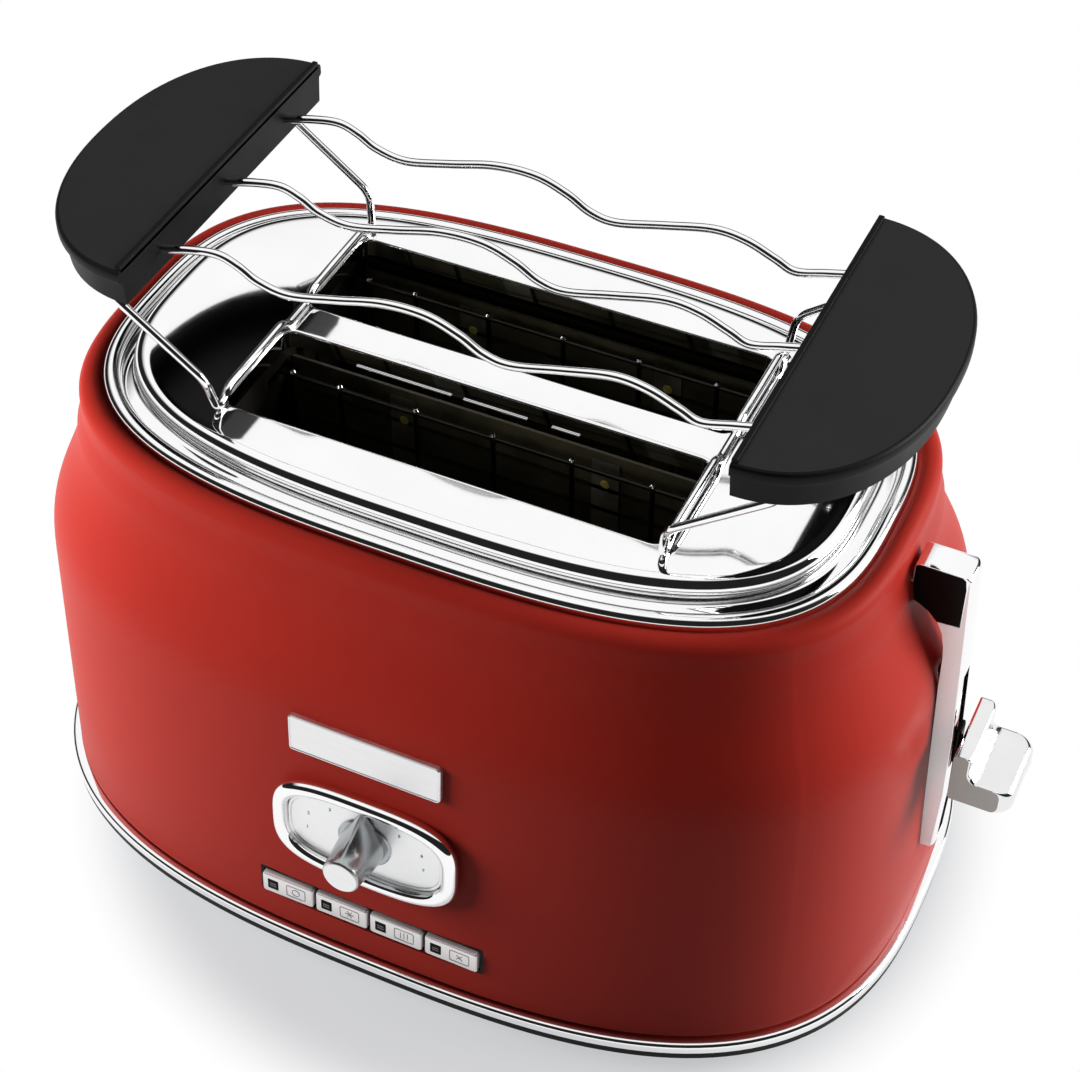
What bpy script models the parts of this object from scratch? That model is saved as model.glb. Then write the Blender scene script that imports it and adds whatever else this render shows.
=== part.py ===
"""A two-slot toaster with a removable bun rack, at real size, in metres, +Z up.

The oval body is centred on an empty named toaster. X runs along the slots, and the lever is at +X.
The front, with the dial and the buttons, looks along -Y. The origin of the scene lies under the
middle of the toaster's whole box, on the surface that the feet stand on.
"""

import math

import bmesh
import bpy
from mathutils import Matrix, Vector

# Clearances that every fit follows
FIT_GAP = 0.0003
RUN_GAP = 0.0006
CUT_OVERRUN = 0.004

# Oval plan: the outer edge of the chrome rim, and the power of its rounded shape
RIM_HALF_LENGTH = 0.1227
RIM_HALF_WIDTH = 0.0723
OVAL_POWER = 2.95
FOOT_OVAL_POWER = 2.8
OVAL_SIDES = 48

# Feet, pan and chrome base ring
FOOT_INSET_X = 0.0474
FOOT_INSET_Y = 0.0350
FOOT_RADIUS = 0.0090
FOOT_TIP_RADIUS = 0.0080
FOOT_HEIGHT = 0.0047
SCREW_HEAD_RADIUS = 0.0030
SCREW_HEAD_HEIGHT = 0.0014
SCREW_SHANK_RADIUS = 0.0014
SCREW_LENGTH = 0.0090
SCREW_RECESS = 0.0024
PAN_THICKNESS = 0.0030
PAN_EDGE_INSET = 0.0008
BASE_RING_HEIGHT = 0.0040
BASE_RING_BULGE = 0.0030
BASE_RING_WIDTH = 0.0054
BASE_RING_EDGE = 0.0016
CRUMB_WINDOW_HALF_LENGTH = 0.060
CRUMB_WINDOW_HALF_WIDTH = 0.044
CRUMB_WINDOW_CORNER = 0.006

# Crumb tray and its rails under the pan
TRAY_OVERLAP = 0.0040
TRAY_FRONT_OVERLAP = 0.0060
TRAY_BACK_INSET = 0.0050
TRAY_HEIGHT = 0.0023
TRAY_WALL = 0.0008
TRAY_PULL_HALF_LENGTH = 0.018
TRAY_PULL_INSET = 0.0005
RAIL_WIDTH = 0.0020
RAIL_LIP_WIDTH = 0.0040
RAIL_LIP_THICKNESS = 0.0006
RAIL_BACK_GAP = 0.0120

# Body shell: how far its wall stands out from the rim's edge, and the drops from the lip's top
# at which that changes
SHELL_WALL = 0.0015
SHELL_FOOT_FLARE = 0.0257
FRONT_FOOT_BULGE = 0.0030
SHOULDER_FLARE = 0.0210
NECK_FLARE = 0.0089
COLLAR_FLARE = 0.0073
LIP_TOP_Z = 0.1663
SHOULDER_DROP = 0.0543
NECK_DROP = 0.0163
COLLAR_DROP = 0.0083
LIP_RADIUS = 0.0041
LIP_SWEEP = math.radians(130)
SHOULDER_STEPS = 6
LIP_STEPS = 4

# Chrome rim between the shell and the top plate
RIM_BEAD_OVERHANG = 0.0002
RIM_BEAD_WIDTH = 0.0048
RIM_BEAD_RISE = 0.0026
RIM_BEAD_SINK = 0.0001
RIM_FLANGE_REACH = 0.0024
RIM_FLANGE_GAP = 0.0010
RIM_FLANGE_THICKNESS = 0.0012
RIM_LEDGE_WIDTH = 0.0018
BEAD_STEPS = 5

# Top plate with its two toast slots
PLATE_GROOVE_DROP = 0.0008
PLATE_RISE = 0.0087
PLATE_THICKNESS = 0.0012
PLATE_GROOVE_WIDTH = 0.0036
PLATE_RISE_WIDTH = 0.0055
PLATE_RISE_STEPS = 3
SLOT_LENGTH = 0.140
SLOT_WIDTH = 0.0373
BRIDGE_WIDTH = 0.0128
SLOT_CORNER = 0.0040
SLOT_LIP_DEPTH = 0.0050
SLOT_LIP_THICKNESS = 0.0010
CORNER_STEPS = 3

# Heat chamber: two end plates, two shields and three heater boards
END_PLATE_GAP = 0.0030
END_PLATE_THICKNESS = 0.0012
END_PLATE_SIDE_GAP = 0.0021
SHIELD_THICKNESS = 0.0008
SHIELD_DROP = 0.0055
BOARD_GAP = 0.0042
BOARD_THICKNESS = 0.0010
BOARD_BOTTOM_Z = 0.0300
BOARD_DROP = 0.0100
TAB_DROP = 0.0058
TAB_THICKNESS = 0.0020
TAB_REACH = 0.0210
TAB_HALF_WIDTH = 0.0200

# Bread guide cages that close on the slice
CAGE_WIRE = 0.0018
CAGE_WIRE_COUNT = 5
CAGE_WIRE_PITCH = 0.0260
CAGE_END_INSET = 0.0015
CAGE_BOTTOM_Z = 0.0480
CAGE_DROP = 0.0110
CAGE_INSET = 0.0011
CAGE_END_REACH = 0.0012
CAGE_CLOSE_SHARE = 1 / 6

# Bread racks that lift the slices
BREAD_RACK_Z = 0.0780
BREAD_RACK_WIDTH = 0.0160
BREAD_RACK_THICKNESS = 0.0020
BREAD_RACK_END_GAP = 0.0070
BREAD_RACK_WINDOWS = 6
BREAD_RACK_RIB = 0.0040
TONGUE_WIDTH = 0.0080

# Carriage: travel, bracket, guide rod and lift spring
TRAVEL_DOWN = 0.0360
TRAVEL_UP = 0.0200
BRACKET_GAP = 0.0028
BRACKET_THICKNESS = 0.0025
BRACKET_SIDE_REACH = 0.0020
BRACKET_DROP = 0.0090
BRACKET_HEIGHT = 0.0220
ROD_STAND = 0.0110
ROD_Y = 0.0140
ROD_RADIUS = 0.0025
SLEEVE_RADIUS = 0.0052
WEB_THICKNESS = 0.0050
SPRING_SHELF_THICKNESS = 0.0025
SPRING_SHELF_HALF_WIDTH = 0.0045
SPRING_RADIUS = 0.0038
SPRING_WIRE_RADIUS = 0.0006
SPRING_TURNS = 11
SPRING_STEPS = 8
ROUND_SIDES = 20

# Electromagnet that holds the carriage down, and the plate on the carriage that it pulls
MAGNET_STAND = 0.0170
MAGNET_SIZE = 0.0160
ARMATURE_DROP = 0.0065
ARMATURE_THICKNESS = 0.0025
ARMATURE_STEM = 0.0060

# Lever: black arm, chrome bar on the end of the body, chrome knob. The shares run from the rim's
# edge outward and from the bar's foot upward, and round the knob from its inner lower corner
ARM_WIDTH = 0.0044
ARM_HEIGHT = 0.0140
ARM_SLOT_TOP_GAP = 0.0040
ARM_TONGUE_LENGTH = 0.0040
ARM_TONGUE_HEIGHT = 0.0080
ARM_TONGUE_WIDTH = 0.0034
BAR_HALF_WIDTH = 0.0050
BAR_STAND = 0.0287
BAR_FOOT_DROP = 0.0036
BAR_TOP_DROP = 0.0078
BAR_LINE_SHARES = (
    (0.944, 0),
    (0.986, 0.01),
    (1, 0.219),
    (0.927, 0.645),
    (0.847, 0.987),
    (0.798, 1),
    (0.401, 1),
    (0.359, 0.989),
    (0.359, 0.883),
    (0.53, 0.856),
    (0.69, 0.792),
    (0.735, 0.712),
)
KNOB_STAND = 0.0313
KNOB_DROP = 0.0045
KNOB_REACH = 0.0195
KNOB_HEIGHT = 0.0195
KNOB_LINE_SHARES = (
    (0.05, 0),
    (0.92, 0),
    (1, 0.08),
    (1, 0.36),
    (0.92, 0.44),
    (0.56, 0.46),
    (0.44, 0.44),
    (0.34, 0.62),
    (0.31, 0.95),
    (0.26, 1),
    (0.05, 1),
    (0, 0.95),
    (0, 0.05),
)
KNOB_HALF_WIDTH = 0.0128
KNOB_PLAN_CORNER = 0.0040

# Front panel, measured up along the wall from the shell's bottom edge
DIAL_UP = 0.0550
BEZEL_HALF_LENGTH = 0.0314
BEZEL_HALF_HEIGHT = 0.0186
BEZEL_POWER = 3.2
BEZEL_SIDES = 36
BEZEL_RISE = 0.0045
BEZEL_WIDTH = 0.0046
BEZEL_RIM_INSET = 0.0014
BEZEL_SKIRT_DEPTH = 0.0040
BEZEL_SHOULDER_SHARE = 0.55
WALL_STAND = 0.0004
FACE_FRONT = 0.0016
SHAFT_RADIUS = 0.0030
POT_RADIUS = 0.0085
POT_FRONT = 0.0083
POT_LENGTH = 0.0080
DIAL_KNOB_LENGTH = 0.0150
DIAL_KNOB_BASE_RADIUS = 0.0068
DIAL_KNOB_CAP_RADIUS = 0.0056
DIAL_KNOB_EDGE = 0.0006
POINTER_REACH = 0.0112
POINTER_HALF_WIDTH = 0.0022
POINTER_TIP_HALF_WIDTH = 0.0008
POINTER_THICKNESS = 0.0120
DIAL_BORE_DEPTH = 0.0110
BADGE_UP = 0.0908
BADGE_LENGTH = 0.0502
BADGE_HEIGHT = 0.0145
BADGE_THICKNESS = 0.0012
BADGE_CORNER = 0.0014
BADGE_STUD_INSET = 0.0071
BADGE_STUD_RADIUS = 0.0011
BADGE_STUD_LENGTH = 0.0040
BUTTON_UP = 0.0172
BUTTON_COUNT = 4
BUTTON_LENGTH = 0.0181
BUTTON_HEIGHT = 0.0083
BUTTON_BAR = 0.0005
BUTTON_PROUD = 0.0008
BUTTON_TRAVEL = 0.0015
BUTTON_FLANGE_RISE = 0.0010
BUTTON_FLANGE_THICKNESS = 0.0010
BUTTON_STEM_HEIGHT = 0.0040
FRAME_RIM = 0.0012
FRAME_SINK = 0.0009
FRAME_DEPTH = 0.0050
FRAME_FLANGE = 0.0018
FRAME_FLANGE_THICKNESS = 0.0014
CONTROL_BOARD_SIDE_REACH = 0.0060
CONTROL_BOARD_THICKNESS = 0.0016
CONTROL_BOARD_RISE = 0.0065
SWITCH_SIZE = 0.0060
SWITCH_HEIGHT = 0.0030

# Mains inlet at the back
GLAND_UP = 0.0120
GLAND_RADIUS = 0.0052
GLAND_FLANGE_RADIUS = 0.0078
GLAND_BORE_RADIUS = 0.0036
GLAND_FLANGE_THICKNESS = 0.0020
GLAND_DEPTH = 0.0090
TERMINAL_INSET = 0.0310
TERMINAL_HALF_LENGTH = 0.0120
TERMINAL_DEPTH = 0.0100
TERMINAL_HEIGHT = 0.0130

# Bun rack: two handles, three waved wires and two leg frames
RACK_SHIFT = 0.0010
RACK_HEIGHT = 0.0508
RACK_WIRE_RADIUS = 0.0013
RACK_WIRE_Y = 0.0354
RACK_WIRE_DROP = 0.0063
RACK_WAVE_HEIGHT = 0.0040
RACK_WAVE_LENGTH = 0.0650
RACK_WAVE_CREST_X = -0.0077
RACK_WAVE_LEAN_SHARE = 0.39
RACK_WIRE_STEPS = 36
HANDLE_INNER_X = 0.0910
HANDLE_DEPTH = 0.0425
HANDLE_HALF_LENGTH = 0.0577
HANDLE_POWER = 2.2
HANDLE_THICKNESS = 0.0125
HANDLE_TAPER = 0.0022
HANDLE_EDGE = 0.0010
HANDLE_SKIN = 0.0015
HANDLE_RIM_WIDTH = 0.0016
HANDLE_RIM_RISE = 0.0012
HANDLE_STEPS = 20
LEG_FOOT_GAP_X = 0.0005
LEG_FOOT_GAP_Y = 0.0043
LEG_KNEE_SPREAD_X = 0.0015
LEG_KNEE_SPREAD_Y = 0.0020
LEG_KNEE_RISE = 0.0128
LEG_TOP_INSET = 0.0120
LEG_TOP_SIDE_INSET = 0.0077
LEG_STEP_RISE = 0.0027
LEG_STEP_RUN = 0.0030
LEG_TOP_DROP = 0.0015
LEG_BEND = 0.0040
LEG_BEND_STEPS = 3

# Colour, roughness and metallic value of each finish
RED_LACQUER = ((0.42, 0.025, 0.02), 0.42, 0.35)
CHROME = ((0.82, 0.82, 0.83), 0.06, 1.0)
STEEL = ((0.45, 0.45, 0.46), 0.38, 1.0)
MICA = ((0.16, 0.14, 0.09), 0.55, 0.0)
BLACK_PLASTIC = ((0.018, 0.018, 0.019), 0.5, 0.0)
RUBBER = ((0.02, 0.02, 0.02), 0.8, 0.0)
IVORY = ((0.78, 0.77, 0.72), 0.4, 0.0)
DIAL_WHITE = ((0.83, 0.83, 0.82), 0.45, 0.0)
GREEN_BOARD = ((0.02, 0.13, 0.05), 0.5, 0.0)

# Casing places that follow from the sizes above
PAN_BOTTOM_Z = FOOT_HEIGHT + FIT_GAP
PAN_TOP_Z = PAN_BOTTOM_Z + PAN_THICKNESS
SEAT_Z = PAN_TOP_Z + FIT_GAP
BASE_RING_TOP_Z = SEAT_Z + BASE_RING_HEIGHT
SHELL_BOTTOM_Z = BASE_RING_TOP_Z + FIT_GAP
SHOULDER_Z = LIP_TOP_Z - SHOULDER_DROP
NECK_Z = LIP_TOP_Z - NECK_DROP
COLLAR_Z = LIP_TOP_Z - COLLAR_DROP
RIM_BEAD_BOTTOM_Z = LIP_TOP_Z - RIM_BEAD_SINK
RIM_FLANGE_TOP_Z = LIP_TOP_Z - SHELL_WALL - RIM_FLANGE_GAP
PLATE_GROOVE_Z = LIP_TOP_Z - PLATE_GROOVE_DROP
PLATE_TOP_Z = PLATE_GROOVE_Z + PLATE_RISE
PLATE_UNDER_Z = PLATE_TOP_Z - PLATE_THICKNESS
SLOT_LIP_BOTTOM_Z = PLATE_UNDER_Z - SLOT_LIP_DEPTH
SLOT_Y = (BRIDGE_WIDTH + SLOT_WIDTH) / 2
SLOT_INNER_Y = BRIDGE_WIDTH / 2
SLOT_OUTER_Y = SLOT_INNER_Y + SLOT_WIDTH
WALL_FOOT_X = RIM_HALF_LENGTH + SHELL_FOOT_FLARE
WALL_FOOT_Y = RIM_HALF_WIDTH + SHELL_FOOT_FLARE + FRONT_FOOT_BULGE
WALL_LEAN = WALL_FOOT_Y - RIM_HALF_WIDTH - SHOULDER_FLARE
WALL_TILT = math.atan2(WALL_LEAN, SHOULDER_Z - SHELL_BOTTOM_Z)
FOOT_X = WALL_FOOT_X - FOOT_INSET_X
FOOT_Y = WALL_FOOT_Y - FOOT_INSET_Y
TRAY_HALF_LENGTH = CRUMB_WINDOW_HALF_LENGTH + TRAY_OVERLAP
TRAY_FRONT_Y = -CRUMB_WINDOW_HALF_WIDTH - TRAY_FRONT_OVERLAP
TRAY_BACK_Y = WALL_FOOT_Y - TRAY_BACK_INSET
TRAY_PULL_BACK_Y = WALL_FOOT_Y - TRAY_PULL_INSET
TRAY_TOP_Z = PAN_BOTTOM_Z - RUN_GAP
TRAY_BOTTOM_Z = TRAY_TOP_Z - TRAY_HEIGHT
RAIL_BOTTOM_Z = TRAY_BOTTOM_Z - FIT_GAP - RAIL_LIP_THICKNESS
RAIL_BACK_Y = TRAY_BACK_Y - RAIL_BACK_GAP

# Chamber and carriage places
END_PLATE_X = SLOT_LENGTH / 2 + END_PLATE_GAP
BOARD_Y = SLOT_OUTER_Y + BOARD_GAP
END_PLATE_HALF_WIDTH = BOARD_Y + END_PLATE_SIDE_GAP
SHIELD_TOP_Z = PLATE_GROOVE_Z - SHIELD_DROP
BOARD_TOP_Z = SLOT_LIP_BOTTOM_Z - BOARD_DROP
TAB_UNDER_Z = SLOT_LIP_BOTTOM_Z - TAB_DROP
CAGE_TOP_Z = SLOT_LIP_BOTTOM_Z - CAGE_DROP
CAGE_END_X = SLOT_LENGTH / 2 - CAGE_END_INSET
CAGE_OUTER_Y = SLOT_OUTER_Y - CAGE_INSET
CAGE_INNER_Y = SLOT_INNER_Y + CAGE_INSET
CAGE_CLOSED = TRAVEL_DOWN * CAGE_CLOSE_SHARE
CAGE_OPENED = TRAVEL_UP * CAGE_CLOSE_SHARE
BREAD_RACK_HALF_LENGTH = END_PLATE_X - BREAD_RACK_END_GAP
BRACKET_X = END_PLATE_X + END_PLATE_THICKNESS + BRACKET_GAP
BRACKET_OUTER_X = BRACKET_X + BRACKET_THICKNESS
BRACKET_HALF_WIDTH = SLOT_Y + TONGUE_WIDTH / 2 + BRACKET_SIDE_REACH
ROD_X = BRACKET_X + ROD_STAND
MAGNET_X = BRACKET_X + MAGNET_STAND
ARM_BOTTOM_Z = BREAD_RACK_Z + BREAD_RACK_THICKNESS / 2
ARM_TOP_Z = ARM_BOTTOM_Z + ARM_HEIGHT
BRACKET_BOTTOM_Z = ARM_BOTTOM_Z - BRACKET_DROP
BRACKET_TOP_Z = BRACKET_BOTTOM_Z + BRACKET_HEIGHT
ARMATURE_BOTTOM_Z = ARM_BOTTOM_Z - ARMATURE_DROP
ARM_SLOT_BOTTOM_Z = ARM_BOTTOM_Z - TRAVEL_DOWN - RUN_GAP
ARM_SLOT_TOP_Z = ARM_TOP_Z + TRAVEL_UP + ARM_SLOT_TOP_GAP
ARM_SLOT_HALF_WIDTH = ARM_WIDTH / 2 + RUN_GAP
BAR_FOOT_Z = ARM_SLOT_BOTTOM_Z - BAR_FOOT_DROP
BAR_HEIGHT = LIP_TOP_Z - BAR_TOP_DROP - BAR_FOOT_Z
KNOB_INNER_X = RIM_HALF_LENGTH + KNOB_STAND
KNOB_BOTTOM_Z = ARM_BOTTOM_Z - KNOB_DROP
KNOB_TIP_X = KNOB_INNER_X + KNOB_REACH

# Front panel and bun rack places
BUTTON_PITCH = BUTTON_LENGTH + FIT_GAP * 2 + BUTTON_BAR
DIAL_KNOB_START = FACE_FRONT + RUN_GAP
BOARD_FACE_DEPTH = POT_FRONT + POT_LENGTH + FIT_GAP
SWITCH_FACE_DEPTH = BOARD_FACE_DEPTH - SWITCH_HEIGHT
CONTROL_BOARD_TOP = DIAL_UP + POT_RADIUS + CONTROL_BOARD_RISE
BADGE_STUD_U = BADGE_LENGTH / 2 - BADGE_STUD_INSET
HANDLE_TOP_Z = PLATE_TOP_Z + RACK_HEIGHT
HANDLE_BOTTOM_Z = HANDLE_TOP_Z - HANDLE_THICKNESS
HANDLE_CEILING_Z = HANDLE_TOP_Z - HANDLE_SKIN
RACK_WIRE_Z = HANDLE_TOP_Z - RACK_WIRE_DROP
LEG_FOOT_X = SLOT_LENGTH / 2 + LEG_FOOT_GAP_X
LEG_FOOT_Y = SLOT_OUTER_Y + LEG_FOOT_GAP_Y
LEG_FOOT_Z = PLATE_TOP_Z + FIT_GAP + RACK_WIRE_RADIUS
LEG_KNEE_X = LEG_FOOT_X + LEG_KNEE_SPREAD_X
LEG_KNEE_Y = LEG_FOOT_Y + LEG_KNEE_SPREAD_Y
LEG_KNEE_Z = PLATE_TOP_Z + LEG_KNEE_RISE
LEG_TOP_X = HANDLE_INNER_X + LEG_TOP_INSET
LEG_TOP_Y = HANDLE_HALF_LENGTH - LEG_TOP_SIDE_INSET
LEG_TOP_Z = HANDLE_BOTTOM_Z - LEG_TOP_DROP
LEG_STEP_Z = LEG_FOOT_Z + LEG_STEP_RISE


def wall_reach(up, out):
    """How far a point on the front or back wall lies from the body's middle."""
    return WALL_FOOT_Y - math.sin(WALL_TILT) * up + math.cos(WALL_TILT) * out


# The whole box: from the base to the lever knob, and from the dial knob to the cord gland
DIAL_TIP_Y = wall_reach(DIAL_UP - DIAL_KNOB_CAP_RADIUS, DIAL_KNOB_START + DIAL_KNOB_LENGTH)
GLAND_TIP_Y = wall_reach(GLAND_UP - GLAND_RADIUS, WALL_STAND + GLAND_FLANGE_THICKNESS)
BODY_X = (WALL_FOOT_X + BASE_RING_BULGE - KNOB_TIP_X) / 2
BODY_Y = (DIAL_TIP_Y - GLAND_TIP_Y) / 2


# Objects


def clear_scene():
    for obj in list(bpy.data.objects):
        bpy.data.objects.remove(obj, do_unlink=True)


def add_empty(name, parent, location, turn=None):
    """An empty at a place and with a turn given in its parent's frame."""
    empty = bpy.data.objects.new(name, None)
    bpy.context.scene.collection.objects.link(empty)
    empty.empty_display_size = FOOT_RADIUS
    empty.parent = parent
    matrix = Matrix.Translation(location)
    empty.matrix_local = matrix if turn is None else matrix @ turn.to_4x4()
    return empty


def add_pivot(name, parent, location):
    """An empty on a joint's axis, and the offset that its pieces take back off."""
    return add_empty(name, parent, location), Vector(location)


def paint(obj, finish):
    colour, roughness, metallic = finish
    material = bpy.data.materials.new(obj.name + "_finish")
    material.use_nodes = True
    shader = material.node_tree.nodes["Principled BSDF"]
    shader.inputs["Base Color"].default_value = (*colour, 1)
    shader.inputs["Roughness"].default_value = roughness
    shader.inputs["Metallic"].default_value = metallic
    material.diffuse_color = (*colour, 1)
    obj.data.materials.append(material)


def place(obj, parent):
    """Hang a piece on an empty, or on a pivot whose own offset is taken back off its points."""
    bpy.context.scene.collection.objects.link(obj)
    if isinstance(parent, tuple):
        obj.parent, offset = parent
        obj.matrix_parent_inverse = Matrix.Translation(-offset)
    else:
        obj.parent = parent


def smooth(mesh):
    mesh.shade_smooth()
    mesh.set_sharp_from_angle(angle=math.radians(35))


def add_mesh(name, bm, parent, finish=None):
    """Turn a closed bmesh into an object. A helper shape takes no finish."""
    bmesh.ops.recalc_face_normals(bm, faces=bm.faces)
    mesh = bpy.data.meshes.new(name)
    bm.to_mesh(mesh)
    bm.free()
    smooth(mesh)
    obj = bpy.data.objects.new(name, mesh)
    place(obj, parent)
    if finish is not None:
        paint(obj, finish)
    return obj


def combine(obj, bm, parent, operation):
    """Join, cut or intersect a piece with a helper shape."""
    helper = add_mesh("helper", bm, parent)
    modifier = obj.modifiers.new("shape", "BOOLEAN")
    modifier.operation = operation
    modifier.solver = "EXACT"
    modifier.object = helper
    bpy.context.view_layer.update()
    graph = bpy.context.evaluated_depsgraph_get()
    mesh = bpy.data.meshes.new_from_object(obj.evaluated_get(graph))
    obj.modifiers.clear()
    obj.data = mesh
    smooth(mesh)
    bpy.data.objects.remove(helper, do_unlink=True)


def cut(obj, bm, parent):
    combine(obj, bm, parent, "DIFFERENCE")


def join(obj, bm, parent):
    combine(obj, bm, parent, "UNION")


# Shapes


def loft(rings, closed=False):
    """Skin equal rings of points, and close the ends unless the last ring joins the first."""
    bm = bmesh.new()
    loops = [[bm.verts.new(point) for point in ring] for ring in rings]
    following = loops[1:] + loops[:1] if closed else loops[1:]
    for loop, after in zip(loops, following):
        for j in range(len(loop)):
            k = (j + 1) % len(loop)
            bm.faces.new((loop[j], loop[k], after[k], after[j]))
    if not closed:
        bm.faces.new(loops[0])
        bm.faces.new(loops[-1])
    return bm


def box(low, high):
    x0, y0, z0 = low
    x1, y1, z1 = high
    return loft([((x0, y0, z), (x1, y0, z), (x1, y1, z), (x0, y1, z)) for z in (z0, z1)])


def raised(point, level, axis):
    spots = list(point)
    spots.insert(axis, level)
    return spots


def prism(outline, low, high, axis=2):
    """Extrude an outline from low to high along X (0), Y (1) or Z (2)."""
    return loft([[raised(point, level, axis) for point in outline] for level in (low, high)])


def circle(radius, centre=(0, 0), sides=ROUND_SIDES):
    turns = (math.tau * i / sides for i in range(sides))
    return [(centre[0] + radius * math.cos(t), centre[1] + radius * math.sin(t)) for t in turns]


def turned(profile, centre, closed=False):
    """Turn (radius, height) points about a line along Z. A closed loop leaves its bore open."""
    rings = [[(u, v, height) for u, v in circle(radius, centre)] for radius, height in profile]
    return loft(rings, closed)


def rounded_box(half_u, half_v, corner, centre=(0, 0), steps=CORNER_STEPS):
    """Outline of a rectangle with round corners, counter-clockwise."""
    points = []
    for quarter, (side_u, side_v) in enumerate(((1, 1), (-1, 1), (-1, -1), (1, -1))):
        for step in range(steps + 1):
            angle = math.pi / 2 * (quarter + step / steps)
            u = side_u * (half_u - corner) + corner * math.cos(angle)
            v = side_v * (half_v - corner) + corner * math.sin(angle)
            points.append((centre[0] + u, centre[1] + v))
    return points


def oval(half_u, half_v, power, sides, sweep=math.tau, start=0, centre=(0, 0)):
    """Points of a superellipse at even angles. A part sweep holds both its ends."""
    points = []
    for i in range(sides):
        angle = start + sweep * i / (sides if sweep == math.tau else sides - 1)
        c, s = math.cos(angle), math.sin(angle)
        reach = (abs(c) ** power + abs(s) ** power) ** (-1 / power)
        points.append((centre[0] + half_u * reach * c, centre[1] + half_v * reach * s))
    return points


def body_ring(offset, z):
    """The body's outline at a height. It grows wider and rounder from the shoulder to the foot."""
    down = min(max((SHOULDER_Z - z) / (SHOULDER_Z - SHELL_BOTTOM_Z), 0), 1)
    half_width = RIM_HALF_WIDTH + offset + FRONT_FOOT_BULGE * down
    power = OVAL_POWER + (FOOT_OVAL_POWER - OVAL_POWER) * down
    outline = oval(RIM_HALF_LENGTH + offset, half_width, power, OVAL_SIDES)
    return [(u, v, z) for u, v in outline]


def arc(centre, radius_u, radius_v, start, end, steps):
    points = []
    for i in range(steps + 1):
        angle = start + (end - start) * i / steps
        points.append((centre[0] + radius_u * math.cos(angle), centre[1] + radius_v * math.sin(angle)))
    return points


def left_of(line, distance):
    """The line moved sideways, to the left of its own direction."""
    moved = []
    for i, (u, v) in enumerate(line):
        before = line[max(i - 1, 0)]
        after = line[min(i + 1, len(line) - 1)]
        along = Vector((after[0] - before[0], after[1] - before[1])).normalized()
        moved.append((u - along.y * distance, v + along.x * distance))
    return moved


def punched_plate(u_range, v_range, holes, low, high, axis):
    """A flat plate with rectangular holes or edge notches, as one closed grid of cells."""
    us = sorted({*u_range, *(u for hole in holes for u in hole[0])})
    vs = sorted({*v_range, *(v for hole in holes for v in hole[1])})

    def filled(i, j):
        if not (0 <= i < len(us) - 1 and 0 <= j < len(vs) - 1):
            return False
        u = (us[i] + us[i + 1]) / 2
        v = (vs[j] + vs[j + 1]) / 2
        return not any(hu[0] < u < hu[1] and hv[0] < v < hv[1] for hu, hv in holes)

    bm = bmesh.new()
    spots = {}

    def corner(i, j, level):
        if (i, j, level) not in spots:
            spots[i, j, level] = bm.verts.new(raised((us[i], vs[j]), level, axis))
        return spots[i, j, level]

    for i in range(len(us) - 1):
        for j in range(len(vs) - 1):
            if not filled(i, j):
                continue
            loop = ((i, j), (i + 1, j), (i + 1, j + 1), (i, j + 1))
            for level in (low, high):
                bm.faces.new([corner(*spot, level) for spot in loop])
            beside = ((i, j - 1), (i + 1, j), (i, j + 1), (i - 1, j))
            for start, end, cell in zip(loop, loop[1:] + loop[:1], beside):
                if filled(*cell):
                    continue
                ends = ((*start, low), (*end, low), (*end, high), (*start, high))
                bm.faces.new([corner(*spot) for spot in ends])
    return bm


def add_wire(name, points, radius, parent, finish):
    """A round wire through the points, as a bevelled curve with closed ends."""
    curve = bpy.data.curves.new(name, "CURVE")
    curve.dimensions = "3D"
    curve.bevel_depth = radius
    curve.bevel_resolution = 1
    curve.use_fill_caps = True
    spline = curve.splines.new("POLY")
    spline.points.add(len(points) - 1)
    for target, point in zip(spline.points, points):
        target.co = (*point, 1)
    obj = bpy.data.objects.new(name, curve)
    place(obj, parent)
    paint(obj, finish)


def bent(corners, radius, steps=LEG_BEND_STEPS):
    """A polyline whose inner corners are replaced by round bends, at most half a stretch long."""
    corners = [Vector(corner) for corner in corners]
    path = [corners[0]]
    for before, corner, after in zip(corners, corners[1:], corners[2:]):
        reach = min(radius, (before - corner).length / 2, (after - corner).length / 2)
        start = corner + (before - corner).normalized() * reach
        end = corner + (after - corner).normalized() * reach
        for i in range(steps + 1):
            t = i / steps
            path.append(start * (1 - t) ** 2 + corner * (2 * t * (1 - t)) + end * t**2)
    path.append(corners[-1])
    return path


# Casing


def shell_flare(z):
    """How far the shell's outer wall stands out from the rim's edge at a height."""
    if z <= SHOULDER_Z:
        share = (z - SHELL_BOTTOM_Z) / (SHOULDER_Z - SHELL_BOTTOM_Z)
        return SHELL_FOOT_FLARE + share * (SHOULDER_FLARE - SHELL_FOOT_FLARE)
    share = min((z - SHOULDER_Z) / (NECK_Z - SHOULDER_Z), 1)
    ease = share * share * (3 - 2 * share)
    return SHOULDER_FLARE + ease * (NECK_FLARE - SHOULDER_FLARE)


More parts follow.
